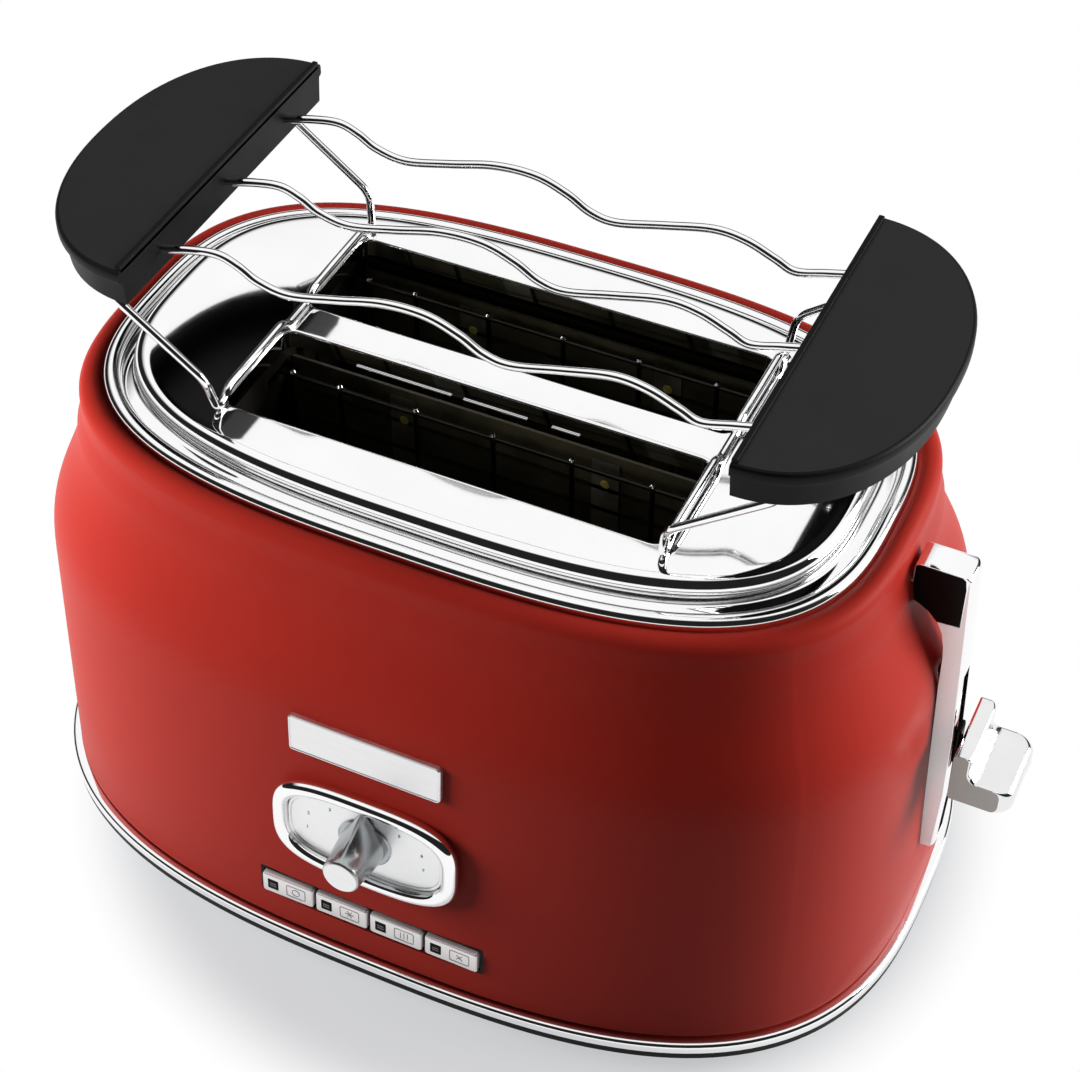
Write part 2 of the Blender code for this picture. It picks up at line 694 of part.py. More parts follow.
def make_shell(root):
    outer = [(SHELL_FOOT_FLARE, SHELL_BOTTOM_Z)]
    for i in range(SHOULDER_STEPS + 1):
        z = SHOULDER_Z + (NECK_Z - SHOULDER_Z) * i / SHOULDER_STEPS
        outer.append((shell_flare(z), z))
    outer.append((COLLAR_FLARE, COLLAR_Z))
    lip_centre = (COLLAR_FLARE - LIP_RADIUS, LIP_TOP_Z - LIP_RADIUS)
    outer += arc(lip_centre, LIP_RADIUS, LIP_RADIUS, 0, LIP_SWEEP, LIP_STEPS)
    inner = left_of(outer, SHELL_WALL)
    inner[0] = (inner[0][0], SHELL_BOTTOM_Z)
    rings = [body_ring(offset, z) for offset, z in outer + inner[::-1]]
    shell = add_mesh("body_shell", loft(rings, closed=True), root, RED_LACQUER)
    low = (BRACKET_OUTER_X, -ARM_SLOT_HALF_WIDTH, ARM_SLOT_BOTTOM_Z)
    high = (KNOB_INNER_X, ARM_SLOT_HALF_WIDTH, ARM_SLOT_TOP_Z)
    cut(shell, box(low, high), root)
    return shell


def make_top(root):
    bead_half = RIM_BEAD_WIDTH / 2
    bead_centre = (RIM_BEAD_OVERHANG - bead_half, RIM_BEAD_BOTTOM_Z)
    bead_inner = RIM_BEAD_OVERHANG - RIM_BEAD_WIDTH
    plate_lower_z = PLATE_GROOVE_Z - PLATE_THICKNESS
    ledge_z = plate_lower_z - FIT_GAP
    flange_z = RIM_FLANGE_TOP_Z - RIM_FLANGE_THICKNESS
    profile = [(RIM_FLANGE_REACH, flange_z), (RIM_FLANGE_REACH, RIM_FLANGE_TOP_Z)]
    profile.append((RIM_BEAD_OVERHANG, RIM_FLANGE_TOP_Z))
    profile += arc(bead_centre, bead_half, RIM_BEAD_RISE, 0, math.pi, BEAD_STEPS)
    profile += [(bead_inner, ledge_z), (bead_inner - RIM_LEDGE_WIDTH, ledge_z)]
    profile.append((bead_inner - RIM_LEDGE_WIDTH, flange_z))
    rings = [body_ring(offset, z) for offset, z in profile]
    add_mesh("top_rim_ring", loft(rings, closed=True), root, CHROME)

    edge = bead_inner - FIT_GAP
    rise_start = edge - PLATE_GROOVE_WIDTH
    flat_start = rise_start - PLATE_RISE_WIDTH
    upper = [(edge, PLATE_GROOVE_Z)]
    centre = (flat_start, PLATE_GROOVE_Z)
    upper += arc(centre, PLATE_RISE_WIDTH, PLATE_RISE, 0, math.pi / 2, PLATE_RISE_STEPS)
    lower = left_of(upper, PLATE_THICKNESS)
    lower[0] = (edge, plate_lower_z)
    lower[1] = (rise_start - PLATE_THICKNESS, plate_lower_z)
    lower[-1] = (flat_start, PLATE_UNDER_Z)
    rings = [body_ring(offset, z) for offset, z in upper[::-1] + lower]
    plate = add_mesh("top_plate", loft(rings), root, CHROME)
    half_length, half_width = SLOT_LENGTH / 2, SLOT_WIDTH / 2
    for side in (-1, 1):
        centre = (0, side * SLOT_Y)
        outer = rounded_box(
            half_length + SLOT_LIP_THICKNESS,
            half_width + SLOT_LIP_THICKNESS,
            SLOT_CORNER + SLOT_LIP_THICKNESS,
            centre,
        )
        join(plate, prism(outer, SLOT_LIP_BOTTOM_Z, PLATE_TOP_Z - PLATE_THICKNESS / 2), root)
        hole = rounded_box(half_length, half_width, SLOT_CORNER, centre)
        cut(plate, prism(hole, SLOT_LIP_BOTTOM_Z - CUT_OVERRUN, PLATE_TOP_Z + CUT_OVERRUN), root)


# Bottom of the toaster


def make_base(root):
    outer = SHELL_FOOT_FLARE + BASE_RING_BULGE
    inner = outer - BASE_RING_WIDTH
    centre = (outer - BASE_RING_EDGE, BASE_RING_TOP_Z - BASE_RING_EDGE)
    profile = arc(centre, BASE_RING_EDGE, BASE_RING_EDGE, 0, math.pi / 2, BEAD_STEPS)
    profile += [(inner, BASE_RING_TOP_Z), (inner, SEAT_Z), (outer, SEAT_Z)]
    rings = [body_ring(offset, z) for offset, z in profile]
    add_mesh("base_ring", loft(rings, closed=True), root, CHROME)

    pan_edge = outer - PAN_EDGE_INSET
    rings = [body_ring(pan_edge, z) for z in (PAN_BOTTOM_Z, PAN_TOP_Z)]
    pan = add_mesh("base_pan", loft(rings), root, BLACK_PLASTIC)
    through = (PAN_BOTTOM_Z - CUT_OVERRUN, PAN_TOP_Z + CUT_OVERRUN)
    window = rounded_box(CRUMB_WINDOW_HALF_LENGTH, CRUMB_WINDOW_HALF_WIDTH, CRUMB_WINDOW_CORNER)
    cut(pan, prism(window, *through), root)
    for centre in foot_places():
        cut(pan, prism(circle(SCREW_SHANK_RADIUS + FIT_GAP, centre), *through), root)

    rail_inner = TRAY_HALF_LENGTH + RUN_GAP
    rail_outer = rail_inner + RAIL_WIDTH
    lip_inner = rail_outer - RAIL_LIP_WIDTH
    lip_top = RAIL_BOTTOM_Z + RAIL_LIP_THICKNESS
    rooted = PAN_BOTTOM_Z + PAN_THICKNESS / 2
    stop_y = TRAY_FRONT_Y - RUN_GAP
    section = (
        (lip_inner, RAIL_BOTTOM_Z),
        (rail_outer, RAIL_BOTTOM_Z),
        (rail_outer, rooted),
        (rail_inner, rooted),
        (rail_inner, lip_top),
        (lip_inner, lip_top),
    )
    rail_front = stop_y - RAIL_WIDTH / 2
    for side in (-1, 1):
        outline = [(side * x, z) for x, z in section]
        join(pan, prism(outline, rail_front, RAIL_BACK_Y, 1), root)
    low = (-rail_outer, stop_y - RAIL_WIDTH, RAIL_BOTTOM_Z)
    join(pan, box(low, (rail_outer, stop_y, rooted)), root)


def foot_places():
    return [(side_x * FOOT_X, side_y * FOOT_Y) for side_y in (-1, 1) for side_x in (-1, 1)]


def make_feet(root):
    shank_gap = SCREW_SHANK_RADIUS + FIT_GAP
    recess = SCREW_HEAD_RADIUS + FIT_GAP
    head_top = SCREW_RECESS - FIT_GAP
    head_bottom = head_top - SCREW_HEAD_HEIGHT
    foot = (
        (recess, 0),
        (FOOT_TIP_RADIUS, 0),
        (FOOT_RADIUS, FOOT_HEIGHT),
        (shank_gap, FOOT_HEIGHT),
        (shank_gap, SCREW_RECESS),
        (recess, SCREW_RECESS),
    )
    screw = (
        (SCREW_HEAD_RADIUS, head_bottom),
        (SCREW_HEAD_RADIUS, head_top),
        (SCREW_SHANK_RADIUS, head_top),
        (SCREW_SHANK_RADIUS, head_bottom + SCREW_LENGTH),
    )
    for index, centre in enumerate(foot_places(), 1):
        add_mesh(f"foot_{index}", turned(foot, centre, closed=True), root, RUBBER)
        add_mesh(f"foot_screw_{index}", turned(screw, centre), root, STEEL)


def make_tray(root):
    pivot = add_pivot("crumb_tray_slide", root, (0, TRAY_BACK_Y, TRAY_BOTTOM_Z))
    low = (-TRAY_HALF_LENGTH, TRAY_FRONT_Y, TRAY_BOTTOM_Z)
    tray = add_mesh("crumb_tray", box(low, (TRAY_HALF_LENGTH, TRAY_BACK_Y, TRAY_TOP_Z)), pivot, STEEL)
    inner_half = TRAY_HALF_LENGTH - TRAY_WALL
    low = (-inner_half, TRAY_FRONT_Y + TRAY_WALL, TRAY_BOTTOM_Z + TRAY_WALL)
    cut(tray, box(low, (inner_half, TRAY_BACK_Y - TRAY_WALL, TRAY_TOP_Z + CUT_OVERRUN)), pivot)
    low = (-TRAY_PULL_HALF_LENGTH, TRAY_BACK_Y - TRAY_WALL / 2, TRAY_BOTTOM_Z)
    join(tray, box(low, (TRAY_PULL_HALF_LENGTH, TRAY_PULL_BACK_Y, TRAY_TOP_Z)), pivot)


# Heat chamber


def cage_places():
    """Name, rest place and inward direction of each of the four cages."""
    return (
        ("guide_cage_front_outer", -CAGE_OUTER_Y, 1),
        ("guide_cage_front_inner", -CAGE_INNER_Y, -1),
        ("guide_cage_back_inner", CAGE_INNER_Y, 1),
        ("guide_cage_back_outer", CAGE_OUTER_Y, -1),
    )


def make_chamber(root):
    half_wire = CAGE_WIRE / 2
    cage_holes = []
    for _, y, inward in cage_places():
        ends = sorted((y + inward * CAGE_CLOSED, y - inward * CAGE_OPENED))
        across = (ends[0] - half_wire - RUN_GAP, ends[1] + half_wire + RUN_GAP)
        for z in (CAGE_BOTTOM_Z, CAGE_TOP_Z):
            cage_holes.append((across, (z - half_wire - RUN_GAP, z + half_wire + RUN_GAP)))
    tongue_holes = []
    tongue_half = TONGUE_WIDTH / 2 + RUN_GAP
    rack_half = BREAD_RACK_THICKNESS / 2 + RUN_GAP
    heights = (BREAD_RACK_Z - TRAVEL_DOWN - rack_half, BREAD_RACK_Z + TRAVEL_UP + rack_half)
    for y in (-SLOT_Y, SLOT_Y):
        tongue_holes.append(((y - tongue_half, y + tongue_half), heights))

    across = (-END_PLATE_HALF_WIDTH, END_PLATE_HALF_WIDTH)
    heights = (SEAT_Z, PLATE_UNDER_Z - FIT_GAP)
    outer_x = END_PLATE_X + END_PLATE_THICKNESS
    plate = punched_plate(across, heights, cage_holes, -outer_x, -END_PLATE_X, 0)
    add_mesh("end_plate_far", plate, root, STEEL)
    plate = punched_plate(across, heights, cage_holes + tongue_holes, END_PLATE_X, outer_x, 0)
    lever_plate = add_mesh("end_plate_lever", plate, root, STEEL)
    low = (outer_x - END_PLATE_THICKNESS / 2, -TAB_HALF_WIDTH, TAB_UNDER_Z)
    high = (outer_x + TAB_REACH, TAB_HALF_WIDTH, TAB_UNDER_Z + TAB_THICKNESS)
    join(lever_plate, box(low, high), root)

    shield_inner = END_PLATE_HALF_WIDTH + FIT_GAP
    for name, side in (("heat_shield_front", -1), ("heat_shield_back", 1)):
        ends = sorted((side * shield_inner, side * (shield_inner + SHIELD_THICKNESS)))
        shape = box((-outer_x, ends[0], SEAT_Z), (outer_x, ends[1], SHIELD_TOP_Z))
        add_mesh(name, shape, root, STEEL)
    half_length = END_PLATE_X - FIT_GAP
    for name, y in (("front", -BOARD_Y), ("centre", 0), ("back", BOARD_Y)):
        low = (-half_length, y - BOARD_THICKNESS / 2, BOARD_BOTTOM_Z)
        high = (half_length, y + BOARD_THICKNESS / 2, BOARD_TOP_Z)
        add_mesh("heater_board_" + name, box(low, high), root, MICA)


def make_cages(root):
    half_wire = CAGE_WIRE / 2
    reach = END_PLATE_X + END_PLATE_THICKNESS + CAGE_END_REACH
    between = (CAGE_BOTTOM_Z + half_wire, CAGE_TOP_Z - half_wire)
    places = [CAGE_WIRE_PITCH * (i - (CAGE_WIRE_COUNT - 1) / 2) for i in range(CAGE_WIRE_COUNT)]
    places = [-CAGE_END_X] + places + [CAGE_END_X]
    holes = [((-reach, -CAGE_END_X - half_wire), between), ((CAGE_END_X + half_wire, reach), between)]
    for place, after in zip(places, places[1:]):
        holes.append(((place + half_wire, after - half_wire), between))
    heights = (CAGE_BOTTOM_Z - half_wire, CAGE_TOP_Z + half_wire)
    for name, y, _ in cage_places():
        pivot = add_pivot(name + "_slide", root, (0, y, CAGE_BOTTOM_Z))
        cage = punched_plate((-reach, reach), heights, holes, y - half_wire, y + half_wire, 1)
        add_mesh(name, cage, pivot, CHROME)


# Carriage and lever


def make_bread_racks(pivot):
    tongue_end = BRACKET_X - FIT_GAP
    half_rack = BREAD_RACK_WIDTH / 2
    half_tongue = TONGUE_WIDTH / 2
    half_thickness = BREAD_RACK_THICKNESS / 2
    pitch = (BREAD_RACK_HALF_LENGTH * 2 - BREAD_RACK_RIB) / BREAD_RACK_WINDOWS
    for name, y in (("bread_rack_front", -SLOT_Y), ("bread_rack_back", SLOT_Y)):
        beyond = (BREAD_RACK_HALF_LENGTH, tongue_end)
        holes = [(beyond, (y - half_rack, y - half_tongue)), (beyond, (y + half_tongue, y + half_rack))]
        inside = (y - half_rack + BREAD_RACK_RIB, y + half_rack - BREAD_RACK_RIB)
        for i in range(BREAD_RACK_WINDOWS):
            left = -BREAD_RACK_HALF_LENGTH + BREAD_RACK_RIB + pitch * i
            holes.append(((left, left + pitch - BREAD_RACK_RIB), inside))
        along = (-BREAD_RACK_HALF_LENGTH, tongue_end)
        across = (y - half_rack, y + half_rack)
        levels = (BREAD_RACK_Z - half_thickness, BREAD_RACK_Z + half_thickness)
        add_mesh(name, punched_plate(along, across, holes, *levels, 2), pivot, STEEL)


def make_bracket(root, pivot):
    low = (BRACKET_X, -BRACKET_HALF_WIDTH, BRACKET_BOTTOM_Z)
    high = (BRACKET_OUTER_X, BRACKET_HALF_WIDTH, BRACKET_TOP_Z)
    bracket = add_mesh("carriage_bracket", box(low, high), pivot, STEEL)
    rooted_x = BRACKET_X + BRACKET_THICKNESS / 2
    low = (rooted_x, ROD_Y - WEB_THICKNESS / 2, BRACKET_BOTTOM_Z)
    join(bracket, box(low, (ROD_X, ROD_Y + WEB_THICKNESS / 2, BRACKET_TOP_Z)), pivot)
    rod_centre = (ROD_X, ROD_Y)
    join(bracket, prism(circle(SLEEVE_RADIUS, rod_centre), BRACKET_BOTTOM_Z, BRACKET_TOP_Z), pivot)
    bore = circle(ROD_RADIUS + RUN_GAP, rod_centre)
    cut(bracket, prism(bore, BRACKET_BOTTOM_Z - CUT_OVERRUN, BRACKET_TOP_Z + CUT_OVERRUN), pivot)
    half_shelf = SPRING_SHELF_HALF_WIDTH
    low = (rooted_x, -ROD_Y - half_shelf, BRACKET_TOP_Z - SPRING_SHELF_THICKNESS)
    join(bracket, box(low, (ROD_X + half_shelf, -ROD_Y + half_shelf, BRACKET_TOP_Z)), pivot)

    under_tab = TAB_UNDER_Z - FIT_GAP
    add_mesh("guide_rod", prism(circle(ROD_RADIUS, rod_centre), SEAT_Z, under_tab), root, STEEL)
    bottom = BRACKET_TOP_Z + FIT_GAP + SPRING_WIRE_RADIUS
    rise = under_tab - SPRING_WIRE_RADIUS - bottom
    coil = []
    count = SPRING_TURNS * SPRING_STEPS
    for i in range(count + 1):
        angle = math.tau * i / SPRING_STEPS
        x = ROD_X + SPRING_RADIUS * math.cos(angle)
        y = -ROD_Y + SPRING_RADIUS * math.sin(angle)
        coil.append((x, y, bottom + rise * i / count))
    add_wire("lift_spring", coil, SPRING_WIRE_RADIUS, pivot, STEEL)


def make_magnet(root, pivot):
    half_magnet = MAGNET_SIZE / 2
    low = (MAGNET_X - half_magnet, -half_magnet, SEAT_Z)
    high = (MAGNET_X + half_magnet, half_magnet, ARMATURE_BOTTOM_Z - TRAVEL_DOWN - RUN_GAP)
    add_mesh("electromagnet", box(low, high), root, STEEL)
    plate_top = ARMATURE_BOTTOM_Z + ARMATURE_THICKNESS
    stem_top = ARM_BOTTOM_Z - FIT_GAP
    half_stem = ARMATURE_STEM / 2
    section = (
        (MAGNET_X - half_magnet, ARMATURE_BOTTOM_Z),
        (MAGNET_X + half_magnet, ARMATURE_BOTTOM_Z),
        (MAGNET_X + half_magnet, plate_top),
        (MAGNET_X + half_stem, plate_top),
        (MAGNET_X + half_stem, stem_top),
        (MAGNET_X - half_stem, stem_top),
        (MAGNET_X - half_stem, plate_top),
        (MAGNET_X - half_magnet, plate_top),
    )
    half_width = half_magnet - FIT_GAP
    add_mesh("armature_plate", prism(section, -half_width, half_width, 1), pivot, STEEL)


def make_lever(root, pivot):
    half_arm = ARM_WIDTH / 2
    arm_end = KNOB_INNER_X - FIT_GAP
    low = (BRACKET_OUTER_X + FIT_GAP, -half_arm, ARM_BOTTOM_Z)
    arm = add_mesh("lever_arm", box(low, (arm_end, half_arm, ARM_TOP_Z)), pivot, BLACK_PLASTIC)
    middle = (ARM_BOTTOM_Z + ARM_TOP_Z) / 2
    half_tongue = ARM_TONGUE_WIDTH / 2
    half_height = ARM_TONGUE_HEIGHT / 2
    tongue_end = KNOB_INNER_X + ARM_TONGUE_LENGTH
    low = (arm_end - CUT_OVERRUN, -half_tongue, middle - half_height)
    join(arm, box(low, (tongue_end, half_tongue, middle + half_height)), pivot)

    line = [(KNOB_INNER_X + KNOB_REACH * x, KNOB_BOTTOM_Z + KNOB_HEIGHT * z) for x, z in KNOB_LINE_SHARES]
    wide = KNOB_HALF_WIDTH + CUT_OVERRUN
    knob = add_mesh("lever_knob", prism(line, -wide, wide, 1), pivot, CHROME)
    plan = rounded_box(KNOB_REACH, KNOB_HALF_WIDTH, KNOB_PLAN_CORNER, (KNOB_INNER_X, 0))
    heights = (KNOB_BOTTOM_Z - CUT_OVERRUN, KNOB_BOTTOM_Z + KNOB_HEIGHT + CUT_OVERRUN)
    combine(knob, prism(plan, *heights), pivot, "INTERSECT")
    low = (KNOB_INNER_X - CUT_OVERRUN, -half_tongue - FIT_GAP, middle - half_height - FIT_GAP)
    high = (tongue_end + FIT_GAP, half_tongue + FIT_GAP, middle + half_height + FIT_GAP)
    cut(knob, box(low, high), pivot)

    section = [(RIM_HALF_LENGTH + BAR_STAND * x, BAR_FOOT_Z + BAR_HEIGHT * z) for x, z in BAR_LINE_SHARES]
    section += [(RIM_HALF_LENGTH + shell_flare(z) + FIT_GAP, z) for z in (SHOULDER_Z, BAR_FOOT_Z)]
    bar = add_mesh("lever_bar", prism(section, -BAR_HALF_WIDTH, BAR_HALF_WIDTH, 1), root, CHROME)
    low = (RIM_HALF_LENGTH, -ARM_SLOT_HALF_WIDTH, ARM_SLOT_BOTTOM_Z)
    cut(bar, box(low, (KNOB_INNER_X, ARM_SLOT_HALF_WIDTH, ARM_SLOT_TOP_Z)), root)


# Front and back walls, with X to the right, Y up along the wall and Z straight out of it


def wall_frame(name, root, side):
    """An empty on the wall's bottom edge: side -1 is the front and +1 the back."""
    along = Vector((-side, 0, 0))
    up = Vector((0, -side * math.sin(WALL_TILT), math.cos(WALL_TILT)))
    turn = Matrix((along, up, along.cross(up))).transposed()
    return add_empty(name, root, (0, side * WALL_FOOT_Y, SHELL_BOTTOM_Z), turn)


def make_dial(front, shell):
    centre = (0, DIAL_UP)

    def bezel_outline(inset):
        half_u, half_v = BEZEL_HALF_LENGTH - inset, BEZEL_HALF_HEIGHT - inset
        return oval(half_u, half_v, BEZEL_POWER, BEZEL_SIDES, centre=centre)

    def bezel_ring(inset, height):
        return [(u, v, height) for u, v in bezel_outline(inset)]

    aperture = bezel_outline(BEZEL_RIM_INSET - FIT_GAP)
    cut(shell, prism(aperture, -BEZEL_SKIRT_DEPTH - CUT_OVERRUN, CUT_OVERRUN), front)
    profile = (
        (BEZEL_RIM_INSET, -BEZEL_SKIRT_DEPTH),
        (BEZEL_RIM_INSET, WALL_STAND),
        (0, WALL_STAND),
        (0, BEZEL_RISE * BEZEL_SHOULDER_SHARE),
        (BEZEL_WIDTH / 4, BEZEL_RISE),
        (BEZEL_WIDTH / 2, BEZEL_RISE),
        (BEZEL_WIDTH, FACE_FRONT + WALL_STAND),
        (BEZEL_WIDTH, -BEZEL_SKIRT_DEPTH),
    )
    rings = [bezel_ring(inset, height) for inset, height in profile]
    add_mesh("dial_bezel", loft(rings, closed=True), front, CHROME)
    face_inset = BEZEL_WIDTH + FIT_GAP
    rings = [bezel_ring(face_inset, height) for height in (-BEZEL_SKIRT_DEPTH, FACE_FRONT)]
    face = add_mesh("dial_face", loft(rings), front, DIAL_WHITE)
    bore = circle(SHAFT_RADIUS + RUN_GAP, centre)
    cut(face, prism(bore, -BEZEL_SKIRT_DEPTH - CUT_OVERRUN, FACE_FRONT + CUT_OVERRUN), front)
    pot = prism(circle(POT_RADIUS, centre), -POT_FRONT - POT_LENGTH, -POT_FRONT)
    add_mesh("dial_potentiometer", pot, front, STEEL)

    pivot = add_pivot("dial_turn", front, (*centre, FACE_FRONT))
    shaft_front = DIAL_KNOB_START + DIAL_BORE_DEPTH - FIT_GAP
    shaft = prism(circle(SHAFT_RADIUS, centre), -POT_FRONT + FIT_GAP, shaft_front)
    add_mesh("dial_shaft", shaft, pivot, STEEL)
    knob_end = DIAL_KNOB_START + DIAL_KNOB_LENGTH
    profile = (
        (DIAL_KNOB_BASE_RADIUS, DIAL_KNOB_START),
        (DIAL_KNOB_CAP_RADIUS, knob_end - DIAL_KNOB_EDGE),
        (DIAL_KNOB_CAP_RADIUS - DIAL_KNOB_EDGE, knob_end),
    )
    knob = add_mesh("dial_knob", turned(profile, centre), pivot, CHROME)
    pointer = (
        (-POINTER_HALF_WIDTH, DIAL_UP),
        (POINTER_HALF_WIDTH, DIAL_UP),
        (POINTER_TIP_HALF_WIDTH, DIAL_UP + POINTER_REACH),
        (-POINTER_TIP_HALF_WIDTH, DIAL_UP + POINTER_REACH),
    )
    join(knob, prism(pointer, DIAL_KNOB_START, DIAL_KNOB_START + POINTER_THICKNESS), pivot)
    bore = circle(SHAFT_RADIUS + FIT_GAP, centre)
    cut(knob, prism(bore, DIAL_KNOB_START - CUT_OVERRUN, DIAL_KNOB_START + DIAL_BORE_DEPTH), pivot)


def make_badge(front, shell):
    outline = rounded_box(BADGE_LENGTH / 2, BADGE_HEIGHT / 2, BADGE_CORNER, (0, BADGE_UP))
    plate = prism(outline, WALL_STAND, WALL_STAND + BADGE_THICKNESS)
    badge = add_mesh("badge_plate", plate, front, CHROME)
    for u in (-BADGE_STUD_U, BADGE_STUD_U):
        stud = circle(BADGE_STUD_RADIUS, (u, BADGE_UP))
        join(badge, prism(stud, -BADGE_STUD_LENGTH, WALL_STAND + BADGE_THICKNESS / 2), front)
        hole = circle(BADGE_STUD_RADIUS + FIT_GAP, (u, BADGE_UP))
        cut(shell, prism(hole, -BADGE_STUD_LENGTH, CUT_OVERRUN), front)


def make_buttons(front, shell):
    half_length, half_height = BUTTON_LENGTH / 2, BUTTON_HEIGHT / 2
    first = -BUTTON_PITCH * (BUTTON_COUNT - 1) / 2
    places = [first + BUTTON_PITCH * index for index in range(BUTTON_COUNT)]
    frame_half_length = half_length - first + FIT_GAP + FRAME_RIM
    frame_half_height = half_height + FIT_GAP + FRAME_RIM
    frame_back = -FRAME_SINK - FRAME_DEPTH

    def centred(half_u, half_v, low, high, u=0):
        return box((u - half_u, BUTTON_UP - half_v, low), (u + half_u, BUTTON_UP + half_v, high))

    def frame_block(grow, low, high):
        return centred(frame_half_length + grow, frame_half_height + grow, low, high)

    cut(shell, frame_block(FIT_GAP, frame_back - CUT_OVERRUN, CUT_OVERRUN), front)
    frame = add_mesh("button_frame", frame_block(0, frame_back, -FRAME_SINK), front, BLACK_PLASTIC)
    join(frame, frame_block(FRAME_FLANGE, frame_back, frame_back + FRAME_FLANGE_THICKNESS), front)
    flange_front = frame_back - FIT_GAP
    flange_back = flange_front - BUTTON_FLANGE_THICKNESS
    stem_back = BUTTON_TRAVEL + FIT_GAP - SWITCH_FACE_DEPTH
    flange_half = half_height + BUTTON_FLANGE_RISE
    stem_half = BUTTON_STEM_HEIGHT / 2
    section = (
        (half_height, BUTTON_PROUD),
        (half_height, flange_front),
        (flange_half, flange_front),
        (flange_half, flange_back),
        (stem_half, flange_back),
        (stem_half, stem_back),
    )
    outline = [(BUTTON_UP - v, w) for v, w in section]
    outline += [(BUTTON_UP + v, w) for v, w in section[::-1]]
    for index, u in enumerate(places, 1):
        sizes = (half_length + FIT_GAP, half_height + FIT_GAP)
        cut(frame, centred(*sizes, frame_back - CUT_OVERRUN, CUT_OVERRUN, u), front)
        pivot = add_pivot(f"button_{index}_slide", front, (u, BUTTON_UP, 0))
        button = prism(outline, u - half_length, u + half_length, 0)
        add_mesh(f"button_{index}", button, pivot, IVORY)

    board_back = -BOARD_FACE_DEPTH - CONTROL_BOARD_THICKNESS
    sunk = math.sin(WALL_TILT) * -board_back
    board_foot = (SEAT_Z - SHELL_BOTTOM_Z + sunk) / math.cos(WALL_TILT)
    board_half = frame_half_length + CONTROL_BOARD_SIDE_REACH
    low = (-board_half, board_foot, board_back)
    high = (board_half, CONTROL_BOARD_TOP, -BOARD_FACE_DEPTH)
    board = add_mesh("control_board", box(low, high), front, GREEN_BOARD)
    half_switch = SWITCH_SIZE / 2
    rooted = board_back + CONTROL_BOARD_THICKNESS / 2
    for u in places:
        join(board, centred(half_switch, half_switch, rooted, -SWITCH_FACE_DEPTH, u), front)


def make_inlet(root, back, shell):
    centre = (0, GLAND_UP)
    cut(shell, prism(circle(GLAND_RADIUS + FIT_GAP, centre), -GLAND_DEPTH, CUT_OVERRUN), back)
    gland = (
        (GLAND_BORE_RADIUS, -GLAND_DEPTH),
        (GLAND_RADIUS, -GLAND_DEPTH),
        (GLAND_RADIUS, WALL_STAND),
        (GLAND_FLANGE_RADIUS, WALL_STAND),
        (GLAND_FLANGE_RADIUS, WALL_STAND + GLAND_FLANGE_THICKNESS / 2),
        (GLAND_RADIUS, WALL_STAND + GLAND_FLANGE_THICKNESS),
        (GLAND_BORE_RADIUS, WALL_STAND + GLAND_FLANGE_THICKNESS),
    )
    add_mesh("cord_gland", turned(gland, centre, closed=True), back, BLACK_PLASTIC)
    terminal_y = WALL_FOOT_Y - TERMINAL_INSET
    low = (-TERMINAL_HALF_LENGTH, terminal_y, SEAT_Z)
    high = (TERMINAL_HALF_LENGTH, terminal_y + TERMINAL_DEPTH, SEAT_Z + TERMINAL_HEIGHT)
    add_mesh("terminal_block", box(low, high), root, BLACK_PLASTIC)


# Bun rack


def handle_ring(side, inset, straight_inset, z):
    """The handle's D outline, drawn in from the curve and from the straight edge."""
    outline = oval(
        HANDLE_DEPTH - inset,
        HANDLE_HALF_LENGTH - inset,
        HANDLE_POWER,
        HANDLE_STEPS + 1,
        math.pi,
        -math.pi / 2,
        (HANDLE_INNER_X, 0),
    )
    straight = HANDLE_INNER_X + straight_inset
    return [(RACK_SHIFT + side * max(x, straight), y, z) for x, y in outline]


def make_handle(name, side, pivot):
    rings = [
        handle_ring(side, HANDLE_TAPER, 0, HANDLE_BOTTOM_Z),
        handle_ring(side, 0, 0, HANDLE_TOP_Z - HANDLE_EDGE),
        handle_ring(side, HANDLE_EDGE, 0, HANDLE_TOP_Z),
    ]
    handle = add_mesh(name, loft(rings), pivot, BLACK_PLASTIC)
    sunk = HANDLE_TAPER + HANDLE_SKIN
    rings = [
        handle_ring(side, sunk, HANDLE_SKIN, HANDLE_BOTTOM_Z - CUT_OVERRUN),
        handle_ring(side, sunk, HANDLE_SKIN, HANDLE_BOTTOM_Z),
        handle_ring(side, HANDLE_SKIN, HANDLE_SKIN, HANDLE_CEILING_Z),
    ]
    cut(handle, loft(rings), pivot)
    ends = (HANDLE_INNER_X, HANDLE_INNER_X + HANDLE_RIM_WIDTH)
    xs = sorted(RACK_SHIFT + side * x for x in ends)
    half = HANDLE_HALF_LENGTH - HANDLE_RIM_WIDTH
    low = (xs[0], -half, HANDLE_CEILING_Z + HANDLE_SKIN / 2)
    join(handle, box(low, (xs[1], half, HANDLE_TOP_Z + HANDLE_RIM_RISE)), pivot)


